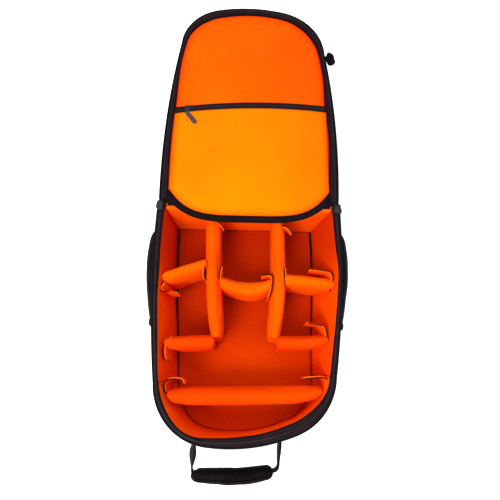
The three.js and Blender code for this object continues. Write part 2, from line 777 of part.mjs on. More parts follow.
// Handle route: x between the two legs, reach out from the shell, as shares.
const HANDLE_ROUTE = [
  { across: 0, reach: 0 },
  { across: -0.02, reach: 0.5 },
  { across: -0.02, reach: 0.84 },
  { across: 0.03, reach: 0.985 },
  { across: 0.18, reach: 1.02 },
  { across: 0.42, reach: 1.06 },
  { across: 0.65, reach: 1.045 },
  { across: 0.9, reach: 0.95 },
  { across: 0.965, reach: 0.86 },
  { across: 0.975, reach: 0.6 },
  { across: 1, reach: 0 },
];
const HANDLE_CENTRE = rim - HANDLE_DROP;

function handlePath() {
  const webTop = HANDLE_CENTRE + WEBBING_WIDTH / 2;
  const endLeft = shellEnd(HANDLE_LEFT, webTop);
  const endRight = shellEnd(HANDLE_RIGHT, webTop);
  return HANDLE_ROUTE.map(({ across, reach }) => {
    const x = lerp(HANDLE_LEFT, HANDLE_RIGHT, across);
    const foot = lerp(endLeft, endRight, clamp(across, 0, 1)) + GAP * 2;
    return new THREE.Vector2(x, foot + reach * HANDLE_REACH);
  });
}

// The edge points of a ribbon along a path in plan.
function ribbon(path, thick) {
  return path.map((p, i) => {
    const before = path[Math.max(i - 1, 0)];
    const after = path[Math.min(i + 1, path.length - 1)];
    const along = after.clone().sub(before).normalize();
    const out = new THREE.Vector2(-along.y, along.x).multiplyScalar(thick / 2);
    return [p.clone().add(out), p.clone().sub(out)];
  });
}

function standingRibbon(path, thick, low, high) {
  const pairs = ribbon(path, thick);
  const points = [...pairs.map((p) => p[0]), ...pairs.map((p) => p[1]).reverse()];
  return solidFrom([bodyRing(points, low), bodyRing(points, high)]);
}

const GRIP_SIDES = 10;
const GRIP_FORM = [0.66, 0.92, 1, 0.97, 0.78];

function buildHandle() {
  const path = handlePath();
  const low = HANDLE_CENTRE - WEBBING_WIDTH / 2;
  const webbing = standingRibbon(path, WEBBING_THICK, low, low + WEBBING_WIDTH);
  addMesh("handle_webbing", webbing, "tape");
  const held = path.slice(3, -3);
  const pairs = ribbon(held, 1);
  const rings = held.map((centre, i) => {
    const out = pairs[i][0].clone().sub(centre).normalize();
    return Array.from({ length: GRIP_SIDES }, (_, k) => {
      const angle = (2 * Math.PI * (k + 0.5)) / GRIP_SIDES;
      const at = centre.clone().addScaledVector(out, (GRIP_FORM[i] * GRIP_THICK * Math.cos(angle)) / 2);
      const z = HANDLE_CENTRE + (GRIP_FORM[i] * GRIP_HEIGHT * Math.sin(angle)) / 2;
      return new THREE.Vector3(at.x, -at.y, z);
    });
  });
  const bore = standingRibbon(path, WEBBING_THICK + 2 * GAP, low - GAP, low + WEBBING_WIDTH + GAP);
  addMesh("handle_grip", cutFrom(solidFrom(rings), bore), "nylon");
}

// Side pockets: bulging cloth with an elastic mouth, standing off the shell's side

const POCKET_ARC = 6;
// at runs along the pocket, full is its bulge
const POCKET_FORM = [
  { at: 0, full: 0.55 },
  { at: 0.08, full: 0.86 },
  { at: 0.3, full: 1 },
  { at: 0.55, full: 0.98 },
  { at: 0.8, full: 0.8 },
  { at: 1, full: 0.62 },
];

function pocketRing(side, v, bulge, inset, shrink) {
  const low = POCKET_LOW + shrink;
  const high = POCKET_HIGH - shrink;
  const foot = (z) => {
    const lie = leanAt(z) - inset;
    return sidePoint(LENGTH, side, travelAt(LENGTH, side, v, lie), lie);
  };
  const outerRow = Array.from({ length: POCKET_ARC + 1 }, (_, k) => {
    const angle = (Math.PI * k) / POCKET_ARC;
    const z = lerp(low, high, (1 - Math.cos(angle)) / 2);
    const p = foot(z);
    const swell = bulge * Math.max(Math.sin(angle), 0) ** POCKET_POWER;
    return new THREE.Vector3(p.x + side * swell, -p.y, z);
  });
  const innerRow = outerRow.map(({ z }) => {
    const p = foot(z);
    return new THREE.Vector3(p.x - side * POCKET_SEAM, -p.y, z);
  });
  return [...outerRow, ...innerRow.reverse()];
}

function pocketBulge(share) {
  const { a, b, t } = between(POCKET_FORM, "at", share);
  return lerp(a.full, b.full, t) * POCKET_BULGE;
}

function sidePocket(side) {
  const mouth = POCKET_END - HEM_LENGTH - GAP;
  const shares = POCKET_FORM.map((row) => row.at);
  const ringAt = (share, cloth, from, to) => {
    const v = lerp(from, to, share);
    const bulge = pocketBulge(clamp((v - POCKET_START) / (mouth - POCKET_START), 0, 1));
    return pocketRing(side, v, bulge - cloth, cloth ? -2 * GAP : GAP, cloth);
  };
  const outer = solidFrom(shares.map((s) => ringAt(s, 0, POCKET_START, mouth)));
  const hollowStart = POCKET_START + POCKET_CLOTH;
  const inner = solidFrom(shares.map((s) => ringAt(s, POCKET_CLOTH, hollowStart, mouth + MOUTH_CUT)));
  return cutFrom(outer, inner);
}

function pocketHem(side) {
  const from = POCKET_END - HEM_LENGTH;
  const bulge = pocketBulge(1) + (HEM_THICK - POCKET_CLOTH) / 2;
  const ringAt = (v, cloth) => pocketRing(side, v, bulge - cloth, cloth ? -2 * GAP : GAP, cloth);
  const outer = solidFrom([ringAt(from, 0), ringAt(POCKET_END, 0)]);
  const inner = solidFrom([
    ringAt(from - MOUTH_CUT, HEM_THICK),
    ringAt(POCKET_END + MOUTH_CUT, HEM_THICK),
  ]);
  return cutFrom(outer, inner);
}

// Harness on the underside

// Shoulder strap: x as a share of half the width, v of the length, wide of the strap's width.
const STRAP_FORM = [
  { x: 0.3, v: 0.95, wide: 0.9 },
  { x: 0.32, v: 0.8, wide: 1 },
  { x: 0.4, v: 0.64, wide: 1 },
  { x: 0.52, v: 0.52, wide: 0.95 },
  { x: 0.6, v: 0.44, wide: 0.85 },
  { x: 0.62, v: 0.4, wide: 0.6 },
];
const STRAP_EDGE = [
  { z: 0, full: 0.9 },
  { z: 0.25, full: 1 },
  { z: 0.75, full: 1 },
  { z: 1, full: 0.9 },
];

function shoulderStrap(side) {
  const path = STRAP_FORM.map(({ x, v }) => new THREE.Vector2((side * x * WIDTH) / 2, v * LENGTH));
  return solidFrom(
    STRAP_EDGE.map(({ z, full }) => {
      const pairs = path.map((p, i) => {
        const half = (STRAP_FORM[i].wide * STRAP_WIDTH * full) / 2;
        return [new THREE.Vector2(p.x - half, p.y), new THREE.Vector2(p.x + half, p.y)];
      });
      const edges = [...pairs.map((p) => p[0]), ...pairs.map((p) => p[1]).reverse()];
      return bodyRing(edges, z * HARNESS_THICK);
    }),
  );
}

function roundedPlate(width, length, corner) {
  const shape = new THREE.Shape();
  const [x, y] = [width / 2, length / 2];
  shape.moveTo(-x + corner, -y);
  shape.lineTo(x - corner, -y);
  shape.absarc(x - corner, -y + corner, corner, -Math.PI / 2, 0, false);
  shape.lineTo(x, y - corner);
  shape.absarc(x - corner, y - corner, corner, 0, Math.PI / 2, false);
  shape.lineTo(-x + corner, y);
  shape.absarc(-x + corner, y - corner, corner, Math.PI / 2, Math.PI, false);
  shape.lineTo(-x, -y + corner);
  shape.absarc(-x + corner, -y + corner, corner, Math.PI, 1.5 * Math.PI, false);
  return shape;
}

const ARC_SEGMENTS = 4;
const extrusion = (shape, depth) =>
  new THREE.ExtrudeGeometry(shape, { depth, bevelEnabled: false, curveSegments: ARC_SEGMENTS });

function lumbarPad() {
  const length = LUMBAR_END - LUMBAR_START;
  const shape = roundedPlate(2 * LUMBAR_HALF, length, LUMBAR_CORNER);
  const plate = extrusion(shape, HARNESS_THICK);
  plate.translate(0, -(LUMBAR_START + LUMBAR_END) / 2, 0);
  return plate;
}

function backPanel() {
  const ring = (z, inset) => bodyRing(outline(LENGTH, inset, inset), z);
  const round = BACK_PANEL_ROUND;
  return solidFrom([
    ring(panelLow, BACK_PANEL_INSET + round),
    ring(panelLow + round, BACK_PANEL_INSET),
    ring(panelHigh - round, BACK_PANEL_INSET),
    ring(panelHigh, BACK_PANEL_INSET + round),
  ]);
}

function buildHarness() {
  addMesh("back_panel", backPanel(), "mesh");
  addMesh("lumbar_pad", lumbarPad(), "mesh");
  const strapEnd = STRAP_FORM[STRAP_FORM.length - 1];
  const buckleFar = strapEnd.v * LENGTH - GAP;
  const buckleNear = buckleFar - BUCKLE_LENGTH;
  const middle = HARNESS_THICK / 2;
  for (const { side, word } of [{ side: -1, word: "left" }, { side: 1, word: "right" }]) {
    addMesh("shoulder_strap_" + word, shoulderStrap(side), "nylon");
    const x = (side * strapEnd.x * WIDTH) / 2;
    const frame = roundedPlate(BUCKLE_WIDTH, BUCKLE_LENGTH, BUCKLE_BAR / 2);
    const slotLength = (BUCKLE_LENGTH - 3 * BUCKLE_BAR) / 2;
    for (const end of [-1, 1]) {
      const slot = new THREE.Path();
      const half = BUCKLE_WIDTH / 2 - BUCKLE_BAR;
      const y = (end * (slotLength + BUCKLE_BAR)) / 2;
      slot.moveTo(-half, y - slotLength / 2);
      slot.lineTo(-half, y + slotLength / 2);
      slot.lineTo(half, y + slotLength / 2);
      slot.lineTo(half, y - slotLength / 2);
      slot.closePath();
      frame.holes.push(slot);
    }
    const buckle = extrusion(frame, BUCKLE_BAR);
    buckle.translate(x, -(buckleFar + buckleNear) / 2, middle - BUCKLE_BAR / 2);
    addMesh("strap_buckle_" + word, buckle, "plastic");
    const footX = LUMBAR_HALF + LUMBAR_GAP + WEBBING_WIDTH / 2;
    const foot = new THREE.Vector2(side * footX, LUMBAR_START);
    const top = new THREE.Vector2(x + side * BUCKLE_BAR, buckleNear - GAP);
    const webbing = [0, 1].map((t) => {
      const p = top.clone().lerp(foot, t);
      return [-1, 1].map((edge) => new THREE.Vector2(p.x + (edge * WEBBING_WIDTH) / 2, p.y));
    });
    const points = [webbing[0][0], webbing[1][0], webbing[1][1], webbing[0][1]];
    addMesh("strap_webbing_" + word, solidFrom([
      bodyRing(points, middle),
      bodyRing(points, middle + STRAP_WEB_THICK),
    ]), "tape");
  }
}

// The whole pack

addMesh("body_shell", bodyShell(), "nylon");
buildHarness();
addMesh("floor_pad", floorPad(), "floor");
addMesh("wall_pad_right", sideWallPad(1), "lining");
addMesh("wall_pad_left", sideWallPad(-1), "lining");
addMesh("wall_pad_end", endWallPad(), "lining");
addMesh("wall_pad_base", baseWallPad(), "lining");
buildDividers();

addMesh("main_zip_body", zipBand(LENGTH, bodyRing, TAPE_EDGE, padRim, GAP), "tape");
addMesh("main_zip_lid", zipBand(LID_LENGTH, lidRing, LID_SWELL, bandInner, lidStart), "tape");
const sliderX = WIDTH / 2 - PAD_RIM / 2;
addMesh("main_zip_slider_left", slider(-sliderX, -SLIDER_LENGTH / 2 - GAP, SLIDER_TURN), "metal");
addMesh("main_zip_slider_right", slider(sliderX, -SLIDER_LENGTH / 2 - GAP, -SLIDER_TURN), "metal");

const gussetHalf = WIDTH / 2 - BAND_FOLD - GAP;
const gusset = new THREE.BoxGeometry(2 * gussetHalf, GUSSET_WIDTH, GUSSET_THICK);
gusset.translate(0, 0, tapeLow + GUSSET_THICK / 2);
addMesh("hinge_gusset", gusset, "nylon");

buildLid();
buildHandle();
for (const { side, word } of [{ side: -1, word: "left" }, { side: 1, word: "right" }]) {
  addMesh("side_pocket_" + word, sidePocket(side), "nylon");
  addMesh("side_pocket_hem_" + word, pocketHem(side), "tape");
}

// The origin is the middle of the underside.
const box = new THREE.Box3().setFromObject(pack);
pack.position.set(-(box.min.x + box.max.x) / 2, -(box.min.y + box.max.y) / 2, -box.min.z);

export default pack;
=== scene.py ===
"""Looks of an open camera backpack that lies on its back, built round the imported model.

Sizes in this script are millimetres. x runs across the pack, v is the distance from the lid's
fold line and z is the height above the ground. to_world() turns them into the frame's metres.
"""
import functools
import math

import bmesh
import bpy
import numpy as np
from mathutils import Matrix, Vector, kdtree, noise


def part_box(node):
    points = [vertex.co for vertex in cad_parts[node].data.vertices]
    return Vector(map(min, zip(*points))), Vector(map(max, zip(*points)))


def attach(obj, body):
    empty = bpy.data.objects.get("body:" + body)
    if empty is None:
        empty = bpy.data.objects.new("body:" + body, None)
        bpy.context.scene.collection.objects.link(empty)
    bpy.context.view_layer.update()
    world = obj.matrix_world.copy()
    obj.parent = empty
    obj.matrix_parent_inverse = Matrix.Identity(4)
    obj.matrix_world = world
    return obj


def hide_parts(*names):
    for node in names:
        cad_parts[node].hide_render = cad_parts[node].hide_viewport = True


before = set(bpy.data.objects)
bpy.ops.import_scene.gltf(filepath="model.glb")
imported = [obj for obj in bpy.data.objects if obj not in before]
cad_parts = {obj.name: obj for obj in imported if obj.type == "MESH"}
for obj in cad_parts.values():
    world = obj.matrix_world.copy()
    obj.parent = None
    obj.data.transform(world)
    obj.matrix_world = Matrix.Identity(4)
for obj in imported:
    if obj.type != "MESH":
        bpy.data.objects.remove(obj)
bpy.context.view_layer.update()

MM = 0.001

# Places taken from the frame
TAPE_LOW, TAPE_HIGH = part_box("main_zip_body")
SHELL_LOW, SHELL_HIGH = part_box("body_shell")
GUSSET_LOW, GUSSET_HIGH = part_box("hinge_gusset")
MID_X = (GUSSET_LOW.x + GUSSET_HIGH.x) / 2
FOLD_Y = (GUSSET_LOW.y + GUSSET_HIGH.y) / 2
RIM = TAPE_HIGH.z / MM
TAPE_BOTTOM = TAPE_LOW.z / MM
SHELL_BOTTOM = SHELL_LOW.z / MM
FLOOR_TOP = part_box("floor_pad")[1].z / MM
FLOOR_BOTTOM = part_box("floor_pad")[0].z / MM
BOARD_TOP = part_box("divider_full_width")[1].z / MM
BOARD_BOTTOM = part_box("divider_full_width")[0].z / MM
LINING_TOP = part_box("lid_pocket_panel")[1].z / MM
LINING_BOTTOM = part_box("lid_pocket_panel")[0].z / MM
LID_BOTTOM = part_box("lid_shell")[0].z / MM
GAP = 0.3

# Plan outline, as in the model
WIDTH = 284
LENGTH = 353
LID_LENGTH = 383
# Far end's radius and shift, corners right and left, side taper and bow, for compartment and lid
FORM = {
    LENGTH: (260, -23.5, {1: 87, -1: 85}, {1: 20, -1: 20}, 5.9),
    LID_LENGTH: (265, -10, {1: 98, -1: 81}, {1: 17.6, -1: 19.8}, 7.2),
}
BACK_LEAN = 6
BACK_ROUND = 6
SHELL_WALL = 2.5
BASE_PAD_RIM = 14
BASE_PAD_FOOT = 15.5
LID_SWELL = 3

# Soft edges: share of the way round the outline from the right of the fold, millimetres inwards
TAPE_EDGE = [
    (0.037, 12.5), (0.079, 10.5), (0.124, 5.8), (0.155, 6.8), (0.2, 8.0), (0.251, 9.6), (0.302, 10.1),
    (0.326, 11.5), (0.357, 15.5), (0.383, 17.4), (0.429, 17.0), (0.463, 15.4), (0.494, 15.1), (0.546, 12.6),
    (0.583, 8.4), (0.602, 8.2), (0.634, 10.1), (0.667, 9.9), (0.702, 7.6), (0.769, 9.6), (0.823, 9.1),
    (0.869, 11.1), (0.917, 10.9), (0.969, 12.2),
]
FOOT_EDGE = [
    (0, 33), (0.061, 32), (0.108, 31), (0.177, 30), (0.215, 29), (0.256, 26.4), (0.296, 22), (0.36, 15),
    (0.43, 13), (0.52, 12.5), (0.6, 15.5), (0.646, 21.7), (0.699, 22.7), (0.734, 23.9), (0.78, 24.5),
    (0.837, 22.3), (0.912, 22), (0.983, 20), (1, 20),
]
LID_EDGE = [
    (0.007, 18.2), (0.048, 17.3), (0.122, 14.9), (0.193, 16.6), (0.245, 12.2), (0.297, 12), (0.337, 16.3),
    (0.382, 18.2), (0.423, 17.6), (0.465, 17), (0.505, 17.4), (0.546, 18.6), (0.592, 19), (0.634, 15.5),
    (0.676, 10.5), (0.723, 9.5), (0.813, 14.6), (0.835, 13.8), (0.936, 14.9), (0.982, 15.9),
]
FLOOR_JOINT = 3.4


def to_world(x, v, z, lid=False):
    """A place in millimetres as a point of the frame, in metres."""
    return Vector((MID_X + x * MM, FOLD_Y + (v if lid else -v) * MM, z * MM))


def lerp(a, b, t):
    return a + (b - a) * t


def clamp(value, low=0.0, high=1.0):
    return max(low, min(high, value))


def smooth(t):
    t = clamp(t)
    return t * t * (3 - 2 * t)


def rough(x, y, z, size, seed=0.0):
    """Smooth noise from -1 to 1 whose lumps are about size millimetres across."""
    return noise.noise(Vector((x / size + seed * 7.3, y / size - seed * 3.1, z / size + seed)))


# Meshes


def mesh_object(name, points, faces):
    """A smooth-shaded object from points in metres, with its faces turned outwards."""
    mesh = bpy.data.meshes.new(name)
    mesh.from_pydata([tuple(p) for p in points], [], faces)
    made = bmesh.new()
    made.from_mesh(mesh)
    bmesh.ops.remove_doubles(made, verts=made.verts, dist=1e-7)
    bmesh.ops.recalc_face_normals(made, faces=made.faces)
    made.to_mesh(mesh)
    made.free()
    for face in mesh.polygons:
        face.use_smooth = True
    thing = bpy.data.objects.new(name, mesh)
    bpy.context.scene.collection.objects.link(thing)
    return thing


def loft(name, rings, caps=True, closed_rings=True, closed_along=False, sliver=False):
    """A surface through rings of equally many points."""
    count = len(rings[0])
    points = [p for ring in rings for p in ring]
    faces = []
    steps = len(rings) if closed_along else len(rings) - 1
    for k in range(steps):
        a, b = k * count, ((k + 1) % len(rings)) * count
        for i in range(count if closed_rings else count - 1):
            j = (i + 1) % count
            faces.append((a + i, a + j, b + j, b + i))
    if caps and not closed_along:
        last = (len(rings) - 1) * count
        for i in range(count // 2 - 1):
            far = count - 1 - i
            faces.append((far, far - 1, i + 1, i))
            if not sliver:
                faces.append((last + i, last + i + 1, last + far - 1, last + far))
        if sliver:
            faces.append(tuple(range(last, last + count)))
    return mesh_object(name, points, faces)


def frames_along(points, closed=False, up=Vector((0, 0, 1))):
    """For each point of a path, the sideways and upward directions square to it."""
    out = []
    n = len(points)
    for i in range(n):
        before = points[(i - 1) % n] if closed else points[max(i - 1, 0)]
        after = points[(i + 1) % n] if closed else points[min(i + 1, n - 1)]
        along = (after - before).normalized()
        side = along.cross(up)
        side = side.normalized() if side.length > 1e-6 else Vector((1, 0, 0))
        out.append((side, side.cross(along).normalized()))
    return out


def sweep(name, points, section, closed=False, up=Vector((0, 0, 1)), scale=None):
    """A section of (sideways, upward) millimetres swept along a path in metres."""
    rings = []
    for i, (p, (side, over)) in enumerate(zip(points, frames_along(points, closed, up))):
        k = scale(i / (len(points) - 1)) if scale else 1
        rings.append([p + side * (a * k * MM) + over * (b * k * MM) for a, b in section])
    return loft(name, rings, closed_along=closed)


def circle(radius, sides=10, flat=1.0):
    return [
        (radius * math.cos(2 * math.pi * k / sides), flat * radius * math.sin(2 * math.pi * k / sides))
        for k in range(sides)
    ]


def bar(width, thick, round_share=0.3):
    """A flat section with softened edges."""
    w, t = width / 2, thick / 2
    r = min(w, t) * round_share * 2
    return [(-w, -t + r), (-w + r, -t), (w - r, -t), (w, -t + r), (w, t - r), (w - r, t), (-w + r, t), (-w, t - r)]


def resample(points, step):
    """Points a given number of metres apart along a path."""
    points = [Vector(p) for p in points]
    lengths = [0.0]
    for a, b in zip(points, points[1:]):
        lengths.append(lengths[-1] + (b - a).length)
    count = max(2, int(round(lengths[-1] / step)) + 1)
    xs = np.linspace(0, lengths[-1], count)
    return [Vector([float(np.interp(x, lengths, [p[c] for p in points])) for c in range(3)]) for x in xs]


def curve_through(points, steps=8):
    """A Catmull-Rom curve through a few points."""
    pts = [Vector(p) for p in points]
    padded = [pts[0] * 2 - pts[1], *pts, pts[-1] * 2 - pts[-2]]
    out = []
    for i in range(1, len(padded) - 2):
        a, b, c, d = padded[i - 1 : i + 3]
        for k in range(steps):
            t = k / steps
            out.append(
                0.5 * (2 * b + (c - a) * t + (2 * a - 5 * b + 4 * c - d) * t * t + (3 * b - a - 3 * c + d) * t**3)
            )
    out.append(pts[-1])
    return out


# Outline of compartment and lid


def corner_of(length, side):
    end_radius, end_shift, corners, taper, _ = FORM[length]
    lean = math.atan(taper[side] / length)
    along = Vector((-side * math.sin(lean), math.cos(lean)))
    inward = Vector((-side * math.cos(lean), -math.sin(lean)))
    end_centre = Vector((end_shift, length - end_radius))
    start = Vector((side * WIDTH / 2, 0)) + inward * corners[side] - end_centre
    reach = start.dot(along)
    travel = math.sqrt(reach**2 - start.length_squared + (end_radius - corners[side]) ** 2) - reach
    centre = start + along * travel
    return along, inward, end_centre, centre + end_centre, math.atan2(centre.y, centre.x), travel


_plans = {}


def plan(length, step=5.0):
    """Points, inward directions and shares of the way round the outline, right to left."""
    if (length, step) in _plans:
        return _plans[length, step]
    rows = []

    def side_rows(side):
        along, inward, _, _, _, travel = corner_of(length, side)
        count = int(travel / step)
        made = []
        for k in range(count + 1):
            s = k / count
            bow = FORM[length][4] * 4 * s * (1 - s)
            p = Vector((side * WIDTH / 2, 0)) + along * (travel * s) - inward * bow
            made.append((p, inward, p.y / length))
        return made

    def arc(centre, radius, start, stop):
        count = max(3, int(abs(stop - start) * radius / step))
        for k in range(1, count + 1):
            angle = lerp(start, stop, k / count)
            out = Vector((math.cos(angle), math.sin(angle)))
            p = centre + out * radius
            rows.append((p, -out, p.y / length))

    right, left = corner_of(length, 1), corner_of(length, -1)
    rows.extend(side_rows(1))
    end_radius, _, corners, _, _ = FORM[length]
    arc(right[3], corners[1], math.atan2(-right[1].y, -right[1].x), right[4])
    arc(right[2], end_radius, right[4], left[4])
    arc(left[3], corners[-1], left[4], math.atan2(-left[1].y, -left[1].x))
    rows.extend(list(reversed(side_rows(-1)))[1:])
    along = [0.0]
    for (a, _, _), (b, _, _) in zip(rows, rows[1:]):
        along.append(along[-1] + (b - a).length)
    rows = [(p, inward, d / along[-1]) for (p, inward, _), d in zip(rows, along)]
    _plans[length, step] = rows
    return rows


def outline(length, inset, start, step=5.0):
    """The outline set in by a distance, or by a function of the share of the way round."""
    inset_at = inset if callable(inset) else (lambda share: inset)
    out = []
    for p, inward, share in plan(length, step):
        q = p + inward * inset_at(share)
        out.append(Vector((q.x, max(q.y, start))))
    return out


def lean_at(z):
    lean = BACK_LEAN * clamp((RIM - z) / (RIM - SHELL_BOTTOM))
    low = clamp((SHELL_BOTTOM + BACK_ROUND - z) / BACK_ROUND)
    return lean + BACK_ROUND * low


def pad_share(z):
    return clamp((RIM - z) / (RIM - FLOOR_BOTTOM))


def read(table, place):
    """Reads a two-column table at a place, with its corners rounded off."""
    xs, ys = zip(*table)
    return sum(float(np.interp(place + d, xs, ys)) for d in (-0.012, -0.006, 0, 0.006, 0.012)) / 5


@functools.cache
def tape_edge(share):
    return read(TAPE_EDGE, share)


@functools.cache
def foot_edge(share):
    return read(FOOT_EDGE, share)


def pad_face(z, share):
    return lerp(tape_edge(share), foot_edge(share), pad_share(z))


def base_face(z):
    return lerp(BASE_PAD_RIM, BASE_PAD_FOOT, pad_share(z))


@functools.cache
def band_inner(share):
    return read(LID_EDGE, share)


@functools.cache
def wall_rows(side, key):
    """v and x of the wall padding's inner face on one side, at a height in half millimetres."""
    points = outline(LENGTH, lambda share: pad_face(key / 2, share), base_face(key / 2))
    half = points[: len(points) // 2] if side > 0 else points[len(points) // 2 :][::-1]
    return np.array([p.y for p in half]), np.array([p.x for p in half])


def wall_x(side, v, z):
    """The wall padding's inner face on one side, at v and height z."""
    return float(np.interp(v, *wall_rows(side, round(z * 2))))


# Materials


class Shader:
    """A small helper that builds one material's node tree."""

    def __init__(self, name, roughness=0.7, metallic=0.0, specular=0.5, tint=(1, 1, 1)):
        self.material = bpy.data.materials.new(name)
        self.material.use_nodes = True
        self.tree = self.material.node_tree
        self.shader = self.tree.nodes["Principled BSDF"]
        self.put(self.shader, "Roughness", roughness)
        self.put(self.shader, "Metallic", metallic)
        self.put(self.shader, "Specular IOR Level", specular)
        self.put(self.shader, "Specular Tint", (*tint, 1))
        self.coords = self.tree.nodes.new("ShaderNodeTexCoord").outputs["Object"]
        self.bump = None

    @staticmethod
    def put(node, socket, value):
        node.inputs[socket].default_value = value

    def link(self, out, socket):
        self.tree.links.new(out, socket)

    def stretched(self, scale, turn=(0, 0, 0)):
        node = self.tree.nodes.new("ShaderNodeMapping")
        self.put(node, "Scale", scale)
        self.put(node, "Rotation", turn)
        self.link(self.coords, node.inputs["Vector"])
        return node.outputs["Vector"]

    def noise(self, scale, detail=3.0, roughness=0.55, vector=None):
        node = self.tree.nodes.new("ShaderNodeTexNoise")
        self.put(node, "Scale", scale)
        self.put(node, "Detail", detail)
        self.put(node, "Roughness", roughness)
        self.link(vector or self.coords, node.inputs["Vector"])
        return node.outputs["Fac"]

    def wave(self, pitch, direction, vector=None, distortion=0.0):
        """Bands a given number of metres apart along X, Y or Z."""
        node = self.tree.nodes.new("ShaderNodeTexWave")
        node.wave_type = "BANDS"
        node.bands_direction = direction
        self.put(node, "Scale", 2 * math.pi / (20 * pitch))
        self.put(node, "Distortion", distortion)
        self.link(vector or self.coords, node.inputs["Vector"])
        return node.outputs["Fac"]

    def math(self, kind, a, b=None):
        node = self.tree.nodes.new("ShaderNodeMath")
        node.operation = kind
        for socket, value in zip(node.inputs, (a, b)):
            if value is None:
                continue
            if isinstance(value, (int, float)):
                socket.default_value = value
            else:
                self.link(value, socket)
        return node.outputs[0]

    def ramp(self, fac, stops):
        node = self.tree.nodes.new("ShaderNodeValToRGB")
        elements = node.color_ramp.elements
        while len(elements) < len(stops):
            elements.new(0.5)
        for element, (place, colour) in zip(elements, stops):
            element.position = place
            element.color = (*colour, 1)
        self.link(fac, node.inputs["Fac"])
        return node.outputs["Color"]

    def mix(self, fac, a, b, blend="MIX"):
        node = self.tree.nodes.new("ShaderNodeMix")
        node.data_type = "RGBA"
        node.blend_type = blend
        for socket, value in ((node.inputs[0], fac), (node.inputs[6], a), (node.inputs[7], b)):
            if isinstance(value, (int, float)):
                socket.default_value = value
            elif isinstance(value, tuple):
                socket.default_value = (*value, 1)
            else:
                self.link(value, socket)
        return node.outputs[2]

    def along(self, axis, start, stop):
        """0 to 1 between two places, in metres, along X, Y or Z."""
        split = self.tree.nodes.new("ShaderNodeSeparateXYZ")
        self.link(self.coords, split.inputs[0])
        node = self.tree.nodes.new("ShaderNodeMapRange")
        node.interpolation_type = "SMOOTHSTEP"
        self.put(node, "From Min", start)
        self.put(node, "From Max", stop)
        self.link(split.outputs[axis], node.inputs["Value"])
        return node.outputs["Result"]

    def colour(self, out):
        self.link(out, self.shader.inputs["Base Color"])

    def roughness(self, out):
        self.link(out, self.shader.inputs["Roughness"])

    def raise_by(self, height, distance, strength=1.0):
        """Adds relief of so many metres to what is there already."""
        node = self.tree.nodes.new("ShaderNodeBump")
        self.put(node, "Strength", strength)
        self.put(node, "Distance", distance)
        self.link(height, node.inputs["Height"])
        if self.bump:
            self.link(self.bump, node.inputs["Normal"])
        self.bump = node.outputs["Normal"]
        self.link(self.bump, self.shader.inputs["Normal"])

    def weave(self, pitch, distance, strength=0.6, vector=None):
        """Crossing threads that show on faces of any direction."""
        x, y, z = (self.wave(pitch, d, vector) for d in "XYZ")
        xy = self.math("MULTIPLY", x, y)
        yz = self.math("MULTIPLY", y, z)
        zx = self.math("MULTIPLY", z, x)
        both = self.math("ADD", self.math("ADD", xy, yz), zx)
        self.raise_by(both, distance, strength)
        return both


def lining_material(name, base, deep, bright, crease=0.0006, fade=None):
    """Brushed orange nylon: uneven dye, faint creases and a fine weave. fade lists gradients of painted light and
    shade, each (axis, from, to, tint), and a vertex attribute marks where painted shade deepens the colour near edges.
    """
    m = Shader(name, roughness=0.75, specular=0.05, tint=(1, 0.3, 0.02))
    broad = m.noise(9, 2.5, 0.5)
    fine = m.noise(140, 3, 0.6)
    tone = m.ramp(broad, [(0.3, deep), (0.52, base), (0.72, bright)])
    cloth = m.mix(0.12, tone, m.ramp(fine, [(0.35, deep), (0.65, bright)]))
    # Painted light and shade: each fade entry tints the colour along one axis.
    for axis, start, stop, tint in fade or ():
        cloth = m.mix(m.along(axis, start, stop), cloth, m.mix(1.0, cloth, tint, "MULTIPLY"))
    # Painted shade near marked edges: the colour turns darker and redder there.
    near = m.tree.nodes.new("ShaderNodeAttribute")
    near.attribute_name = "painted_edge_shade"
    m.colour(m.mix(near.outputs["Fac"], cloth, m.mix(1.0, cloth, (0.98, 0.5, 1.0), "MULTIPLY")))
    m.roughness(m.ramp(fine, [(0.3, (0.68,) * 3), (0.7, (0.82,) * 3)]))
    m.raise_by(m.noise(38, 4, 0.55), crease, 0.5)
    m.weave(0.0009, 0.00006, 0.35)
    return m.material


def nylon_material(name, base, light, pitch=0.0011):
    """Coated black nylon: slubby plain weave and dusty high spots."""
    m = Shader(name, roughness=0.78, specular=0.04)
    dust = m.noise(22, 4, 0.6)
    slub = m.noise(700, 2, 0.5, m.stretched((1, 0.15, 1)))
    tone = m.ramp(dust, [(0.35, base), (0.75, light)])
    threads = m.weave(pitch, 0.00014, 0.55)
    m.colour(m.mix(m.math("MULTIPLY", threads, 0.35), tone, light))
    m.roughness(m.ramp(slub, [(0.3, (0.62,) * 3), (0.7, (0.8,) * 3)]))
    m.raise_by(m.noise(45, 4, 0.6), 0.0007, 0.35)
    return m.material


def webbing_material(name, base, light):
    """Ribbed webbing: cords side by side with a herringbone twist."""
    m = Shader(name, roughness=0.78, specular=0.05)
    ribs = m.wave(0.0024, "DIAGONAL", distortion=0.6)
    fine = m.noise(900, 2, 0.5)
    m.colour(m.mix(m.math("MULTIPLY", ribs, 0.6), base, light))
    m.roughness(m.ramp(fine, [(0.3, (0.6,) * 3), (0.7, (0.82,) * 3)]))
    m.raise_by(ribs, 0.0003, 0.6)
    m.raise_by(fine, 0.0001, 0.4)
    return m.material


def plastic_material(name, base, light, roughness=0.42, metallic=0.0):
    """Moulded or cast small part with a fine grain and an uneven tone."""
    m = Shader(name, roughness=roughness, metallic=metallic, specular=0.12)
    grain = m.noise(1500, 3, 0.6)
    m.colour(m.ramp(m.noise(60, 4, 0.6), [(0.35, base), (0.8, light)]))
    m.roughness(m.ramp(grain, [(0.3, (roughness - 0.08,) * 3), (0.7, (roughness + 0.12,) * 3)]))
    m.raise_by(grain, 0.00005, 0.3)
    return m.material


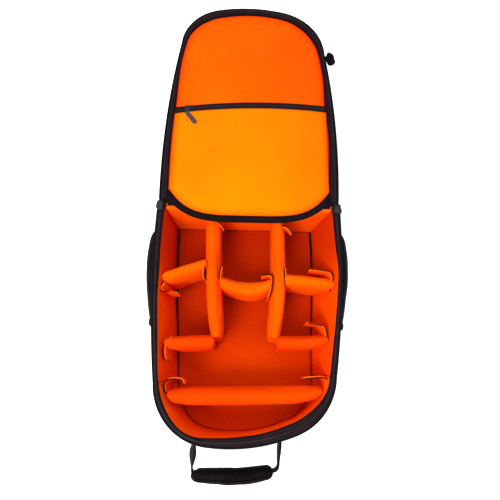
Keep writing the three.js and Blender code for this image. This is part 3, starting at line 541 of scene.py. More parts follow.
def mesh_material(name, base, light):
    """Spacer mesh: a close pattern of dark pores over black knit."""
    m = Shader(name, roughness=0.85, specular=0.1)
    node = m.tree.nodes.new("ShaderNodeTexVoronoi")
    node.feature = "F1"
    m.put(node, "Scale", 420)
    m.put(node, "Randomness", 0.25)
    m.link(m.coords, node.inputs["Vector"])
    pores = m.ramp(node.outputs["Distance"], [(0.25, (0, 0, 0)), (0.5, (1, 1, 1))])
    m.colour(m.mix(pores, tuple(c * 0.25 for c in base), m.ramp(m.noise(30, 3), [(0.3, base), (0.7, light)])))
    m.raise_by(pores, 0.0006, 0.7)
    return m.material


# Places along Y, in metres, for painted light and shade: the floor lining is painted lighter away from the fold, and
# the cells at the fold are painted darker as shade
PAINTED_FLOOR_LIGHT = (-0.17, -0.24)
PAINTED_CELL_SHADE = (-0.13, -0.04)


def shades(red, green, spread=0.22, blue=0.001):
    """A lining's middle, deep and bright colour."""
    deep = (red * 0.95, green * (1 - spread), blue)
    bright = (min(1.0, red * 1.02), green * (1 + spread), blue)
    return (red, green, blue), deep, bright


MATERIALS = {
    "nylon": nylon_material("black_nylon", (0.0036, 0.0024, 0.0035), (0.0078, 0.0056, 0.0076)),
    # The zip tape's lighter purple-grey over black is painted satin sheen.
    "zip_tape": nylon_material("zip_tape", (0.0105, 0.0055, 0.0072), (0.02, 0.011, 0.0145), 0.0016),
    "binding": nylon_material("binding_tape", (0.0042, 0.0028, 0.004), (0.009, 0.0064, 0.0086), 0.0014),
    "coil": plastic_material("zip_coil", (0.0115, 0.007, 0.009), (0.023, 0.015, 0.019), 0.55),
    "webbing": webbing_material("webbing", (0.005, 0.0036, 0.0048), (0.014, 0.0105, 0.0135)),
    "mesh": mesh_material("air_mesh", (0.012, 0.0105, 0.0125), (0.024, 0.021, 0.025)),
    "plastic": plastic_material("plastic", (0.011, 0.009, 0.011), (0.022, 0.018, 0.022)),
    "pull": plastic_material("pull_rubber", (0.05, 0.038, 0.05), (0.08, 0.062, 0.08), 0.55),
    "slider": plastic_material("slider_metal", (0.02, 0.018, 0.021), (0.06, 0.055, 0.062), 0.4, 0.5),
    # Painted shade: the wall lining is tinted darker in the cells near the fold.
    "wall_lining": lining_material("wall_lining", *shades(0.93, 0.072), fade=[("Y", *PAINTED_CELL_SHADE, (0.72, 0.5, 1.0))]),
    # A lighter copy of the wall lining, painted as lit, for the end and base walls.
    "end_lining": lining_material("end_lining", *shades(1.0, 0.112)),
    "divider_lining": lining_material("divider_lining", *shades(0.94, 0.086)),
    # A lighter copy of the board lining, painted as lit, for the upper cross boards.
    "cross_lining": lining_material("cross_lining", *shades(0.97, 0.11)),
    # A darker copy of the board lining, painted as shade, for the lower cross boards and the full-width board.
    "lower_lining": lining_material("lower_lining", *shades(0.86, 0.052)),
    # A much darker copy of the lining, painted as the floor's shade, with painted light away from the fold and painted
    # shade in the cells at the fold.
    "floor_lining": lining_material(
        "floor_lining",
        *shades(0.44, 0.025),
        fade=[("Y", *PAINTED_FLOOR_LIGHT, (1.45, 1.8, 1.0)), ("Y", *PAINTED_CELL_SHADE, (0.9, 0.78, 1.0))],
    ),
    # A lighter, yellower copy of the lining painted as lit, with painted shade growing along +X and +Y.
    "pocket_lining": lining_material(
        "pocket_lining",
        *shades(1.0, 0.225, 0.12),
        fade=[("X", 0.0, 0.11, (1.0, 0.8, 1.0)), ("Y", 0.05, 0.16, (1.0, 0.88, 1.0))],
    ),
    # Painted shade growing to the right across the lid lining, away from the key light.
    "lid_lining": lining_material("lid_lining", *shades(1.0, 0.108, 0.14), fade=[("X", -0.05, 0.11, (1.0, 0.8, 1.0))]),
    "edging": lining_material("tab_edging", *shades(1.0, 0.16, 0.2, 0.012)),
    # A near-black cord material that stands in for the shadow in the gaps beside the flaps: painted shadow.
    "painted_shadow": lining_material("joint_shade", *shades(0.07, 0.006)),
}


def dress(piece, material, node=(), parent=None):
    """Gives a piece its material, hangs it under the root, and hides the frame nodes that it stands for."""
    piece.data.materials.clear()
    piece.data.materials.append(MATERIALS[material])
    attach(piece, "root")
    nodes = (node,) if isinstance(node, str) else node
    if nodes:
        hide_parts(*nodes)
    return piece


def mark_painted_edge_shade(piece, path, reach):
    """Marks the vertices near a path of points in metres, where painted shade deepens the lining's colour."""
    tree = kdtree.KDTree(len(path))
    for k, p in enumerate(path):
        tree.insert(p, k)
    tree.balance()
    spots = piece.data.attributes.new("painted_edge_shade", "FLOAT", "POINT")
    for vertex, spot in zip(piece.data.vertices, spots.data):
        distance = tree.find(vertex.co)[2] / MM
        spot.value = math.exp(-((distance / reach) ** 2))


def sewn_area(length, height):
    """The cloth in a sewn shell of one plan outline and a height, in square metres."""
    ring = outline(length, 0, 0)
    around = list(zip(ring, ring[1:] + ring[:1]))
    base = abs(sum(a.x * b.y - b.x * a.y for a, b in around)) / 2
    return (base + sum((b - a).length for a, b in around) * height) * MM * MM


def subdivide(piece, levels=1):
    bpy.context.view_layer.objects.active = piece
    modifier = piece.modifiers.new("fine", "SUBSURF")
    modifier.levels = modifier.render_levels = levels
    apply_modifier(piece, modifier)
    return piece


def apply_modifier(piece, modifier):
    with bpy.context.temp_override(object=piece, active_object=piece, selected_objects=[piece]):
        bpy.ops.object.modifier_apply(modifier=modifier.name)
    for face in piece.data.polygons:
        face.use_smooth = True


def inflate(piece, pressure=4.0, cap=4.0, pinned=None, frames=20):
    """Swells a closed mesh as a stuffed cover, with no point moving further than cap millimetres."""
    rest = np.array([v.co[:] for v in piece.data.vertices])
    cloth = piece.modifiers.new("cloth", "CLOTH")
    settings = cloth.settings
    settings.quality = 5
    settings.mass = 0.3
    settings.tension_stiffness = settings.compression_stiffness = 25
    settings.shear_stiffness = 12
    settings.bending_stiffness = 2.0
    settings.use_pressure = True
    settings.uniform_pressure_force = pressure
    settings.effector_weights.gravity = 0
    cloth.collision_settings.use_collision = False
    if pinned:
        group = piece.vertex_groups.new(name="pinned")
        for index, weight in pinned.items():
            group.add([index], weight, "REPLACE")
        settings.vertex_group_mass = "pinned"
    cloth.point_cache.frame_start = 1
    cloth.point_cache.frame_end = frames
    for number in range(1, frames + 1):
        bpy.context.scene.frame_set(number)
    seen = piece.evaluated_get(bpy.context.evaluated_depsgraph_get())
    moved = np.array([v.co[:] for v in seen.data.vertices])
    piece.modifiers.remove(cloth)
    bpy.context.scene.frame_set(1)
    shift = moved - rest
    far = np.linalg.norm(shift, axis=1)
    keep = np.minimum(1.0, cap * MM / np.maximum(far, 1e-9))
    piece.data.vertices.foreach_set("co", (rest + shift * keep[:, None]).ravel())
    piece.data.update()
    return piece


# Camera and light

CAMERA_BACK = 263.8
CAMERA_UP = 603.0
CAMERA_ELEVATION = 72.97
CAMERA_ROLL = 0.022
CAMERA_LENS = 30.33
CAMERA_SHIFT = 0.0046


def build_camera():
    data = bpy.data.cameras.new("camera")
    data.lens = CAMERA_LENS
    data.sensor_width = 36
    data.shift_x = CAMERA_SHIFT
    data.clip_start = 0.01
    camera = bpy.data.objects.new("camera", data)
    camera.location = to_world(0, CAMERA_BACK, RIM + CAMERA_UP)
    turn = Matrix.Rotation(math.radians(90 - CAMERA_ELEVATION), 4, "X")
    camera.rotation_euler = (turn @ Matrix.Rotation(CAMERA_ROLL, 4, "Z")).to_euler()
    bpy.context.scene.collection.objects.link(camera)
    bpy.context.scene.camera = camera


def area_light(name, place, target, size, power, colour=(1, 1, 1)):
    data = bpy.data.lights.new(name, "AREA")
    data.shape = "DISK"
    data.size = size
    data.energy = power
    data.color = colour
    light = bpy.data.objects.new(name, data)
    light.location = place
    light.rotation_euler = (Vector(target) - Vector(place)).to_track_quat("-Z", "Y").to_euler()
    bpy.context.scene.collection.objects.link(light)


def build_stage():
    floor = mesh_object("floor", [(-4, -4, 0), (4, -4, 0), (4, 4, 0), (-4, 4, 0)], [(0, 1, 2, 3)])
    m = Shader("pale_floor", roughness=0.9, specular=0.1)
    m.put(m.shader, "Emission Color", (1, 1, 1, 1))
    m.put(m.shader, "Emission Strength", 0.8)
    m.colour(m.ramp(m.noise(3, 2), [(0.3, (0.93, 0.93, 0.93)), (0.7, (0.95, 0.95, 0.95))]))
    floor.data.materials.append(m.material)
    world = bpy.data.worlds.new("studio")
    bpy.context.scene.world = world
    world.use_nodes = True
    world.node_tree.nodes["Background"].inputs["Color"].default_value = (1, 1, 1, 1)
    world.node_tree.nodes["Background"].inputs["Strength"].default_value = 0.6
    bpy.context.scene.view_settings.view_transform = "Standard"
    area_light("key", (-0.6, -1.0, 1.5), (0, 0, 0.05), 0.8, 30)
    area_light("top", (0.1, 0.3, 1.8), (0, 0.05, 0.1), 1.4, 8)


# Compartment


def ring_round(inset, start, z, lid=False, length=LENGTH, step=5.0, bulge=None):
    """A closed ring: the outline and the stretch along the fold that closes it."""
    path = outline(length, inset, start, step)
    right, left = path[0], path[-1]
    count = int(WIDTH / step)
    count += (len(path) + count + 1) % 2
    fold = [Vector((lerp(left.x, right.x, k / count), start)) for k in range(1, count)]
    points = [*path, *fold]
    if bulge:
        points = [bulge(p, z) for p in points]
    return [to_world(p.x, p.y, z, lid) for p in points]


def build_body_shell():
    def sag(p, z):
        height = clamp((z - SHELL_BOTTOM) / (RIM - SHELL_BOTTOM))
        swell = 1.4 * math.sin(math.pi * height) + 1.1 * rough(p.x, p.y, z, 55, 1) * math.sin(math.pi * height)
        centre = Vector((0, LENGTH / 2))
        out = (p - centre).normalized()
        return p + out * swell

    top = TAPE_BOTTOM - 0.2
    heights = [SHELL_BOTTOM, SHELL_BOTTOM + 1.5, SHELL_BOTTOM + 3.5, SHELL_BOTTOM + BACK_ROUND]
    heights += list(np.linspace(SHELL_BOTTOM + BACK_ROUND + 6, top, 14))
    outer = [ring_round(lean_at(z), lean_at(z), z, bulge=sag) for z in heights]
    down = [top, SHELL_BOTTOM + BACK_ROUND, SHELL_BOTTOM + SHELL_WALL]
    inner = [ring_round(lean_at(z) + SHELL_WALL, lean_at(z) + SHELL_WALL, z) for z in down]
    shell = loft("body_shell_cloth", [r for r in outer + inner])
    dress(shell, "nylon", "body_shell")
    height = RIM - SHELL_BOTTOM
    sewn_area(LENGTH, height)

    # Piping along the back edge and at the rim
    for name, z, radius, out in (("back_piping", SHELL_BOTTOM + 2.2, 1.7, 1.0), ("rim_piping", RIM - 2.2, 1.8, -1.9)):
        path = ring_round(lean_at(z) - out, lean_at(z) - out, z)
        dress(sweep(name, path, circle(radius), closed=True), "binding")


def pad_surface(name, back_of, face_of, heights, puff, seed, node, material="wall_lining"):
    """A wall pad between two rows of plan points that depend on the height."""
    rings = []
    for z in heights:
        back = back_of(z)
        face = face_of(z)
        height = clamp((z - heights[0]) / (heights[-1] - heights[0]))
        count = len(face)
        soft = []
        for i, p in enumerate(face):
            along = i / (count - 1)
            q = back[i]
            out = (p - q).normalized()
            edge = min(1, 8 * min(along, 1 - along)) * min(1, 5 * min(height + 0.05, 1.05 - height))
            swell = puff * math.sin(math.pi * clamp(height)) ** 0.6 * edge
            fold = 0.9 * rough(p.x, p.y, z, 34, seed) + 0.5 * rough(p.x, p.y, z * 0.4, 14, seed + 2)
            soft.append(p + out * (swell + fold * edge))
        rings.append([to_world(q.x, q.y, z) for q in back] + [to_world(q.x, q.y, z) for q in reversed(soft)])
    pad = loft(name, rings)
    subdivide(pad)
    dress(pad, material, node)
    return pad


def build_wall_pads():
    top = TAPE_BOTTOM - GAP
    heights = [FLOOR_BOTTOM, FLOOR_BOTTOM + 1.5, *np.linspace(FLOOR_BOTTOM + 5, top - 4, 15), top - 1, top]

    def stretch(keep, inset_of, start_of):
        return lambda z: [
            p
            for p, (q, _, _) in zip(outline(LENGTH, inset_of(z), start_of(z)), plan(LENGTH))
            if keep(q)
        ]

    def back(z):
        return lean_at(z) + SHELL_WALL + GAP

    right_travel, left_travel = corner_of(LENGTH, 1)[5], corner_of(LENGTH, -1)[5]
    right_end = plan(LENGTH)[int(right_travel / 5.0)][0].y
    left_end = plan(LENGTH)[-1 - int(left_travel / 5.0)][0].y
    keepers = {
        "right": lambda q: q.x > 0 and q.y <= right_end + 0.01,
        "left": lambda q: q.x < 0 and q.y <= left_end + 0.01,
        "end": lambda q: (q.x > 0 and q.y >= right_end - 0.01) or (q.x <= 0 and q.y >= left_end - 0.01),
    }
    for seed, (word, keep) in enumerate(keepers.items()):
        pad_surface(
            "wall_" + word,
            stretch(keep, back, back),
            stretch(keep, lambda z: lambda share: pad_face(z, share), back),
            heights,
            1.6,
            seed + 3,
            "wall_pad_" + word,
            "end_lining" if word == "end" else "wall_lining",
        )

    def base_row(depth_of):
        def row(z):
            v = depth_of(z)
            left, right = wall_x(-1, v, z) - 0.4, wall_x(1, v, z) + 0.4
            return [Vector((lerp(right, left, k / 50), v)) for k in range(51)]

        return row

    pad_surface("wall_base", base_row(back), base_row(base_face), heights, 2.2, 9, "wall_pad_base", "end_lining")

    # Stitched seams where the wall's panels meet
    for word, side, place in (("right", 1, right_end), ("left", -1, left_end)):
        path = [
            to_world(wall_x(side, place, z) - side * 1.0, place, z) for z in np.linspace(FLOOR_TOP, top - 1, 14)
        ]
        seam = sweep("wall_seam_" + word, path, circle(0.9, 8), up=Vector((0, 1, 0)))
        dress(seam, "wall_lining")


def closing_rings(ring, length, shares, lift_at, lid=False):
    """Rings that shrink from a first one to a line down the middle. lift_at gives millimetres."""
    low, high = to_world(0, length * 0.38, 0, lid).y, to_world(0, length * 0.6, 0, lid).y
    low, high = min(low, high), max(low, high)
    rings = []
    for t in shares:
        soft = []
        for p in ring:
            q = Vector((lerp(p.x, MID_X, t), lerp(p.y, clamp(p.y, low, high), t), p.z))
            q.z += lift_at(q, t) * MM
            soft.append(q)
        rings.append(soft)
    return rings


def build_floor_pad():
    def edge(more):
        return lambda share: foot_edge(share) + more + lerp(
            0.4, FLOOR_JOINT, smooth(4 * (abs(share - 0.48) - 0.13))
        )

    start = BASE_PAD_FOOT + 0.6
    levels = [(FLOOR_BOTTOM, 0.5), (FLOOR_BOTTOM + 2, -0.1), (FLOOR_TOP - 3, -0.1), (FLOOR_TOP - 1, 1.0)]
    rows = [ring_round(edge(more), start + more, z, step=3.0) for z, more in levels]
    rows.append(ring_round(edge(1.5), start + 1.5, FLOOR_TOP - 0.3, step=3.0))
    top = ring_round(edge(2.2), start + 2.2, FLOOR_TOP, step=3.0)

    def lift(p, t):
        x, y = p.x / MM, p.y / MM
        return 0.5 * rough(x, y, 0, 45, 12) + 0.25 * rough(x, y, 0, 16, 5) - 0.2

    rows += closing_rings(top, LENGTH, [0, 0.015, 0.03, 0.06, *np.linspace(0.09, 0.96, 34), 0.99], lift)
    pad = loft("floor_lining", rows, sliver=True)
    dress(pad, "floor_lining", "floor_pad")


# Dividers

BOARD_THICK = 19
TAB_THICK = 2.2
TAB_LENGTH = 25
TAB_HEIGHT = 0.95

# Long boards: v as a share of the length, x of half the width, thick of a board's thickness
LONG_LEFT = [
    (0.05, -0.392, 1.02),
    (0.116, -0.386, 1.02),
    (0.273, -0.369, 0.98),
    (0.415, -0.349, 0.97),
    (0.52, -0.321, 0.94),
    (0.588, -0.296, 0.8),
]
LONG_RIGHT = [
    (0.05, 0.329, 0.95),
    (0.121, 0.333, 0.93),
    (0.266, 0.335, 0.95),
    (0.41, 0.33, 0.98),
    (0.514, 0.309, 0.94),
    (0.588, 0.283, 0.88),
]

# Cross boards: share of the way along, v of the length, thick of a board's thickness
CROSS_UPPER_LEFT = [(0, 0.338, 0.8), (0.12, 0.334, 1), (0.5, 0.306, 0.96), (1, 0.276, 0.92)]
CROSS_CENTRE = [
    (0, 0.352, 0.9),
    (0.16, 0.366, 0.94),
    (0.38, 0.38, 0.94),
    (0.6, 0.385, 0.94),
    (0.84, 0.376, 0.92),
    (1, 0.354, 0.9),
]
CROSS_UPPER_RIGHT = [(0, 0.337, 0.94), (0.45, 0.343, 0.94), (0.86, 0.353, 0.94), (1, 0.356, 0.8)]
CROSS_LOWER_LEFT = [(0, 0.61, 0.8), (0.12, 0.611, 0.98), (0.55, 0.607, 1.02), (1, 0.602, 0.95)]
CROSS_LOWER_RIGHT = [(0, 0.6, 0.95), (0.5, 0.6, 0.98), (0.87, 0.593, 0.94), (1, 0.588, 0.75)]
FULL_WIDTH = [(0, 0.819, 0.9), (0.1, 0.817, 1.1), (0.5, 0.811, 1.14), (0.88, 0.802, 1.12), (1, 0.793, 0.9)]


def column(table, key, place):
    """Reads a table's column at a place in its first column, along straight lines between its rows."""
    xs = [row[0] for row in table]
    ys = [row[key] for row in table]
    return float(np.interp(place, xs, ys))


def eased(table, key, place, spread=0.05):
    """As column, with the corners of the table rounded off."""
    low, high = table[0][0], table[-1][0]
    return sum(column(table, key, clamp(place + d * spread, low, high)) for d in (-1, -0.5, 0, 0.5, 1)) / 5


def long_face(table, side, v):
    share = clamp(v / LENGTH, table[0][0], table[-1][0])
    return column(table, 1, share) * WIDTH / 2 + side * (column(table, 2, share) * BOARD_THICK / 2 + GAP)


def board_section():
    """Half width and height shares of a padded board's cross-section, from foot to foot."""
    left = [(1.0, r) for r in (0.0, 0.03, 0.1, 0.18, 0.26, 0.34, 0.42, 0.5, 0.58, 0.66, 0.74, 0.78)]
    crown = []
    for k in range(1, 8):
        angle = math.pi / 2 * k / 8
        crown.append((math.cos(angle), 0.82 + 0.18 * math.sin(angle)))
    half = [*left, (1.0, 0.82), *crown]
    return [(-w, r) for w, r in half] + [(w, r) for w, r in reversed(half)]


def board_mesh(name, stations, point_at, node, material, seed, ends=(1, 1)):
    """point_at(s, w, z) gives the plan point at share s, sideways share w and height z."""
    section = board_section()
    rings = []
    for s in stations:
        edge_low = clamp(s / 0.05) if ends[0] else 1
        edge_high = clamp((1 - s) / 0.05) if ends[1] else 1
        round_end = 0.9 + 0.1 * math.sin(math.pi / 2 * min(edge_low, edge_high))
        ring = []
        for w, r in section:
            dip = 1.6 * (1 - math.sin(math.pi / 2 * min(edge_low, edge_high)))
            z = lerp(BOARD_BOTTOM, BOARD_TOP - dip, r)
            slack = 1 + 0.05 * math.sin(math.pi * r) if r < 0.9 else 1.0
            p = point_at(s, w * round_end * slack, z)
            crease = 0.5 * rough(p.x, p.y, z, 22, seed) + 0.3 * rough(p.x, p.y, z, 9, seed + 3)
            fade = min(edge_low, edge_high) * clamp(r * 4)
            lift = crease * fade
            push = Vector((p.x, p.y)) + (point_at(s, w * round_end * slack + 0.05 * w, z) - p).normalized() * lift * abs(w)
            ring.append(to_world(push.x, push.y, z + 0.6 * lift * (1 - abs(w)) * (r > 0.8)))
        rings.append(ring)
    piece = loft(name, rings)
    inflate(piece, 3.0, 1.6)
    subdivide(piece)
    dress(piece, material, node)
    return piece


TAB_TOP = 104

# Each flap's top edge: the wall that it leans with, and plan points from its root to its tip
TABS = {
    "tab_upper_left_wall": (-1, [(-124, 128), (-127.5, 137.5), (-121, 142), (-103.5, 142.1)]),
    "tab_upper_left_long": (0, [(-64.6, 93), (-65.9, 107), (-65.9, 117.3), (-63, 121.9)]),
    "tab_centre_left": (0, [(-38.3, 101.2), (-39.6, 111), (-40.6, 120.9)]),
    "tab_centre_right": (0, [(22, 116), (35, 114.8), (37.2, 122), (35, 137), (31.6, 148)]),
    "tab_upper_right_long": (0, [(57.7, 102.4), (58.3, 114), (59.5, 126.8)]),
    "tab_upper_right_wall": (1, [(94.3, 103.6), (112, 106), (125.5, 108.9), (127, 122), (122.6, 136)]),
    "tab_lower_left_wall": (-1, [(-107.5, 207.6), (-114.5, 216.9), (-115.1, 228), (-114.5, 238.9)]),
    "tab_lower_right_wall": (1, [(88.6, 183.3), (100, 184.8), (111.5, 187.4), (115.5, 198), (117.4, 210)]),
    "tab_full_left": (-1, [(-84.4, 271.7), (-88.5, 265.5), (-105, 265), (-111.5, 274.1), (-110, 284)]),
    "tab_full_right": (1, [(82.5, 260.3), (98, 258.7), (111.5, 258.8), (114, 267), (111.5, 279)]),
    "tab_base_left": (0, [(-53.5, 30), (-46.9, 32), (-41, 38), (-38, 42)]),
    "tab_base_right": (0, [(48.9, 35.4), (59.1, 37.3), (68.1, 45.9)]),
}


# Flaps whose dark cord of painted shadow lies on the side of the compartment's middle
TABS_TURNED = ("tab_upper_left_long", "tab_upper_right_long")


# How deep a flap reaches down from its top edge
TAB_DEPTH = 42
TAB_SHORT = {"tab_base_left": 13, "tab_base_right": 13}


def tab_sheet(name, side, line, seed):
    """A thin upright flap along a plan line, with a bound top edge and a dark cord of painted shadow behind it."""
    bottom = TAB_TOP - TAB_SHORT.get(name, TAB_DEPTH)
    middle = Vector((0, 150))
    path = [Vector((p.x, p.y)) for p in resample(curve_through([(x, v, 0) for x, v in line], 6), 2.0)]
    levels = 8

    def place(p, z, out=0.0):
        near = clamp(1 - abs(wall_x(side, p.y, TAB_TOP) - p.x) / 25) if side else 0
        lean = (wall_x(side, p.y, z) - wall_x(side, p.y, TAB_TOP)) * near if side else 0
        away = (middle - p).normalized() * out * (-1 if name in TABS_TURNED else 1)
        sway = 0.5 * rough(p.x, p.y, z, 18, seed) * clamp((TAB_TOP - z) / 20)
        return to_world(p.x + lean + away.x + sway, p.y + away.y, z)

    last = len(path) - 1
    rings = []
    for k in range(levels + 1):
        z = lerp(bottom, TAB_TOP, k / levels)
        low = [z - 5 * smooth((i / last - 0.7) / 0.3) * k / levels for i in range(last + 1)]
        face = [place(p, h, TAB_THICK / 2) for p, h in zip(path, low)]
        back = [place(p, h, -TAB_THICK / 2) for p, h in zip(path, low)]
        rings.append(back + face[::-1])
    flap = loft(name, rings)
    dress(flap, "divider_lining")
    top = [TAB_TOP - 5 * smooth((i / last - 0.7) / 0.3) for i in range(last + 1)]
    hem = [place(p, h, 0.3) for p, h in zip(path, top)]
    edging = sweep(name + "_edging", hem, circle(0.6, 8))
    dress(edging, "edging")
    # A dark cord behind the flap stands in for the shadow in the gap: painted shadow.
    painted_shadow = [place(p, h - 0.2, -TAB_THICK / 2 - 0.9) for p, h in zip(path, top)]
    shadow = sweep(name + "_joint", painted_shadow, circle(1.1, 6))
    dress(shadow, "painted_shadow")


def build_long_board(name, table, seed):
    first, last = base_face(BOARD_TOP) + 0.8, table[-1][0] * LENGTH
    turn = 0.1 * BOARD_THICK * (-1 if table is LONG_LEFT else 1)

    def point_at(s, w, z):
        v = lerp(base_face(z) + 0.8, last, s)
        share = clamp(v / LENGTH, table[0][0], table[-1][0])
        x = eased(table, 1, share, 0.04) * WIDTH / 2
        thick = eased(table, 2, share, 0.04) * BOARD_THICK
        v += w * turn * smooth((s - 0.86) / 0.14)
        return Vector((x + w * thick / 2, v))

    stations = [0, 0.012, 0.03, *np.linspace(0.055, 0.945, 38), 0.97, 0.988, 1]
    board_mesh(name, stations, point_at, name.replace("board", "divider"), "divider_lining", seed, ends=(0, 1))
    return first


def build_cross_board(name, table, end_x, node, material, seed, count=18, lean=0):
    """lean is how far the foot stands nearer to the fold than the top edge does."""
    def point_at(s, w, z):
        v = (eased(table, 1, s, 0.06)) * LENGTH + w * eased(table, 2, s, 0.05) * BOARD_THICK / 2
        v -= lean * (BOARD_TOP - z) / (BOARD_TOP - BOARD_BOTTOM)
        return Vector((lerp(end_x(0, v, z), end_x(1, v, z), s), v))

    stations = [0, 0.02, 0.045, *np.linspace(0.08, 0.92, count), 0.955, 0.98, 1]
    return board_mesh(name, stations, point_at, node, material, seed)


def build_dividers():
    build_long_board("board_long_left", LONG_LEFT, 21)
    build_long_board("board_long_right", LONG_RIGHT, 22)
    for seed, (name, (side, line)) in enumerate(TABS.items()):
        tab_sheet(name, side, line, seed)

    def left_wall(v, z):
        return wall_x(-1, v, z) + 0.8

    def right_wall(v, z):
        return wall_x(1, v, z) - 0.8

    def mitre(table, side, v):
        last = table[-1]
        slant = clamp((v - (last[0] * LENGTH - BOARD_THICK / 4)) / (BOARD_THICK * 1.2))
        return long_face(table, side, last[0] * LENGTH) - side * math.sin(math.pi * slant) * 0.3 * BOARD_THICK

    build_cross_board(
        "board_upper_left",
        CROSS_UPPER_LEFT,
        lambda end, v, z: long_face(LONG_LEFT, -1, v) if end else left_wall(v, z),
        "divider_cross_upper_left",
        "cross_lining",
        31,
        lean=4,
    )
    build_cross_board(
        "board_centre",
        CROSS_CENTRE,
        lambda end, v, z: long_face(LONG_RIGHT, -1, v) if end else long_face(LONG_LEFT, 1, v),
        "divider_cross_centre",
        "cross_lining",
        32,
        lean=4,
    )
    build_cross_board(
        "board_upper_right",
        CROSS_UPPER_RIGHT,
        lambda end, v, z: right_wall(v, z) if end else long_face(LONG_RIGHT, 1, v),
        "divider_cross_upper_right",
        "cross_lining",
        33,
        lean=4,
    )
    build_cross_board(
        "board_lower_left",
        CROSS_LOWER_LEFT,
        lambda end, v, z: mitre(LONG_LEFT, -1, v) if end else left_wall(v, z) + 5,
        "divider_cross_lower_left",
        "lower_lining",
        34,
    )
    build_cross_board(
        "board_lower_right",
        CROSS_LOWER_RIGHT,
        lambda end, v, z: right_wall(v, z) - 3 if end else mitre(LONG_RIGHT, 1, v),
        "divider_cross_lower_right",
        "lower_lining",
        35,
    )
    build_cross_board(
        "board_full_width",
        FULL_WIDTH,
        lambda end, v, z: right_wall(v, z) if end else left_wall(v, z) + 3,
        "divider_full_width",
        "lower_lining",
        36,
        46,
    )


# Zips

COIL_PITCH = 2.2


def zip_line(name, path, width=None, coil=2.0):
    """A zip's coil along a path in metres: a core with one raised tooth after another."""
    line = resample(path, COIL_PITCH / 3 * MM)
    rings = []
    for i, (p, (side, over)) in enumerate(zip(line, frames_along(line))):
        swell = (0.72, 1.0, 0.86)[i % 3]
        rings.append([p + side * (a * swell * MM) + over * (b * swell * MM) for a, b in circle(coil, 8, 0.6)])
    piece = loft(name, rings)
    dress(piece, "coil")
    return piece


def band(name, length, lid, outer, inner, start, profile, node, material="zip_tape", step=5.0):
    """A tape round an outline. profile gives (share across, height over the tape's bottom)."""
    rings = []
    for p, inward, share in plan(length, step):
        a, b = outer(share), inner(share)
        ring = []
        for across, height in profile:
            q = p + inward * lerp(a, b, across)
            ring.append(to_world(q.x, max(q.y, start), TAPE_BOTTOM + height, lid))
        rings.append(ring)
    piece = loft(name, rings)
    return dress(piece, material, node)


TAPE_PROFILE = [
    (0.0, 0.4),
    (0.0, 1.7),
    (0.06, 2.5),
    (0.2, 2.3),
    (0.42, 2.0),
    (0.7, 2.1),
    (0.9, 2.6),
    (1.0, 2.0),
    (1.0, 0.4),
    (0.5, 0.2),
]


def offset_path(length, inset, z, lid, step=5.0, start=0.0):
    return [to_world(p.x, max(p.y, start), z, lid) for p in outline(length, inset, start, step)]


def build_main_zips():
    band(
        "zip_tape_body",
        LENGTH,
        False,
        lambda s: 3.0,
        tape_edge,
        GAP,
        TAPE_PROFILE,
        "main_zip_body",
    )
    zip_line("zip_coil_body", offset_path(LENGTH, lambda s: lerp(3, tape_edge(s), 0.45), RIM - 0.7, False, start=GAP))
    inner_edge = offset_path(LENGTH, lambda s: tape_edge(s) - 0.6, RIM - 1.0, False, start=GAP)
    dress(sweep("zip_edge_body", inner_edge, circle(1.1, 8)), "binding")

    band(
        "zip_tape_lid",
        LID_LENGTH,
        True,
        lambda s: 5.0,
        band_inner,
        0.6,
        TAPE_PROFILE,
        "main_zip_lid",
    )
    zip_line("zip_coil_lid", offset_path(LID_LENGTH, 7.5, RIM - 0.9, True, start=0.6), coil=1.4)
    lid_edge = offset_path(LID_LENGTH, lambda s: band_inner(s) - 0.9, RIM - 1.0, True, start=0.6)
    dress(sweep("zip_edge_lid", lid_edge, circle(1.2, 8)), "binding")


# Lid

LIP_REACH = 25
LIP_RISE = 42
LIP_POWER = 4.4
BINDING_REACH = 35.5
BINDING_RISE = 36
BINDING_POWER = 4
POCKET_ZIP_SET = 172.9
POCKET_ZIP_ARCH = 8.5
POCKET_ZIP_TILT = 3.9
POCKET_ZIP_WIDTH = 9.6
LINING_HALF = (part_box("lid_pocket_panel")[1].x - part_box("lid_pocket_panel")[0].x) / MM / 2


def lip_at(s):
    return LIP_RISE * abs(s) ** LIP_POWER - LIP_REACH


def binding_at(s):
    return BINDING_RISE * abs(s) ** BINDING_POWER - BINDING_REACH


def pocket_zip_at(s):
    return POCKET_ZIP_SET - POCKET_ZIP_ARCH * s * s + POCKET_ZIP_TILT * s


def across_lid(name, lower, upper, low, high, lift, columns=56, rows=44, half=None):
    """A soft sheet across the lid between two curves. lift(s, t) raises its face in millimetres."""
    half = half or LINING_HALF
    rings = []
    for j in range(rows + 1):
        t = j / rows
        top, bottom = [], []
        for i in range(columns + 1):
            s = math.sin(math.pi / 2 * lerp(-1, 1, i / columns)) * 0.35 + lerp(-1, 1, i / columns) * 0.65
            v = lerp(lower(s), upper(s), t)
            top.append(to_world(s * half, v, high + lift(s, t), True))
            bottom.append(to_world(s * half, v, low, True))
        rings.append(top + bottom[::-1])
    return loft(name, rings)


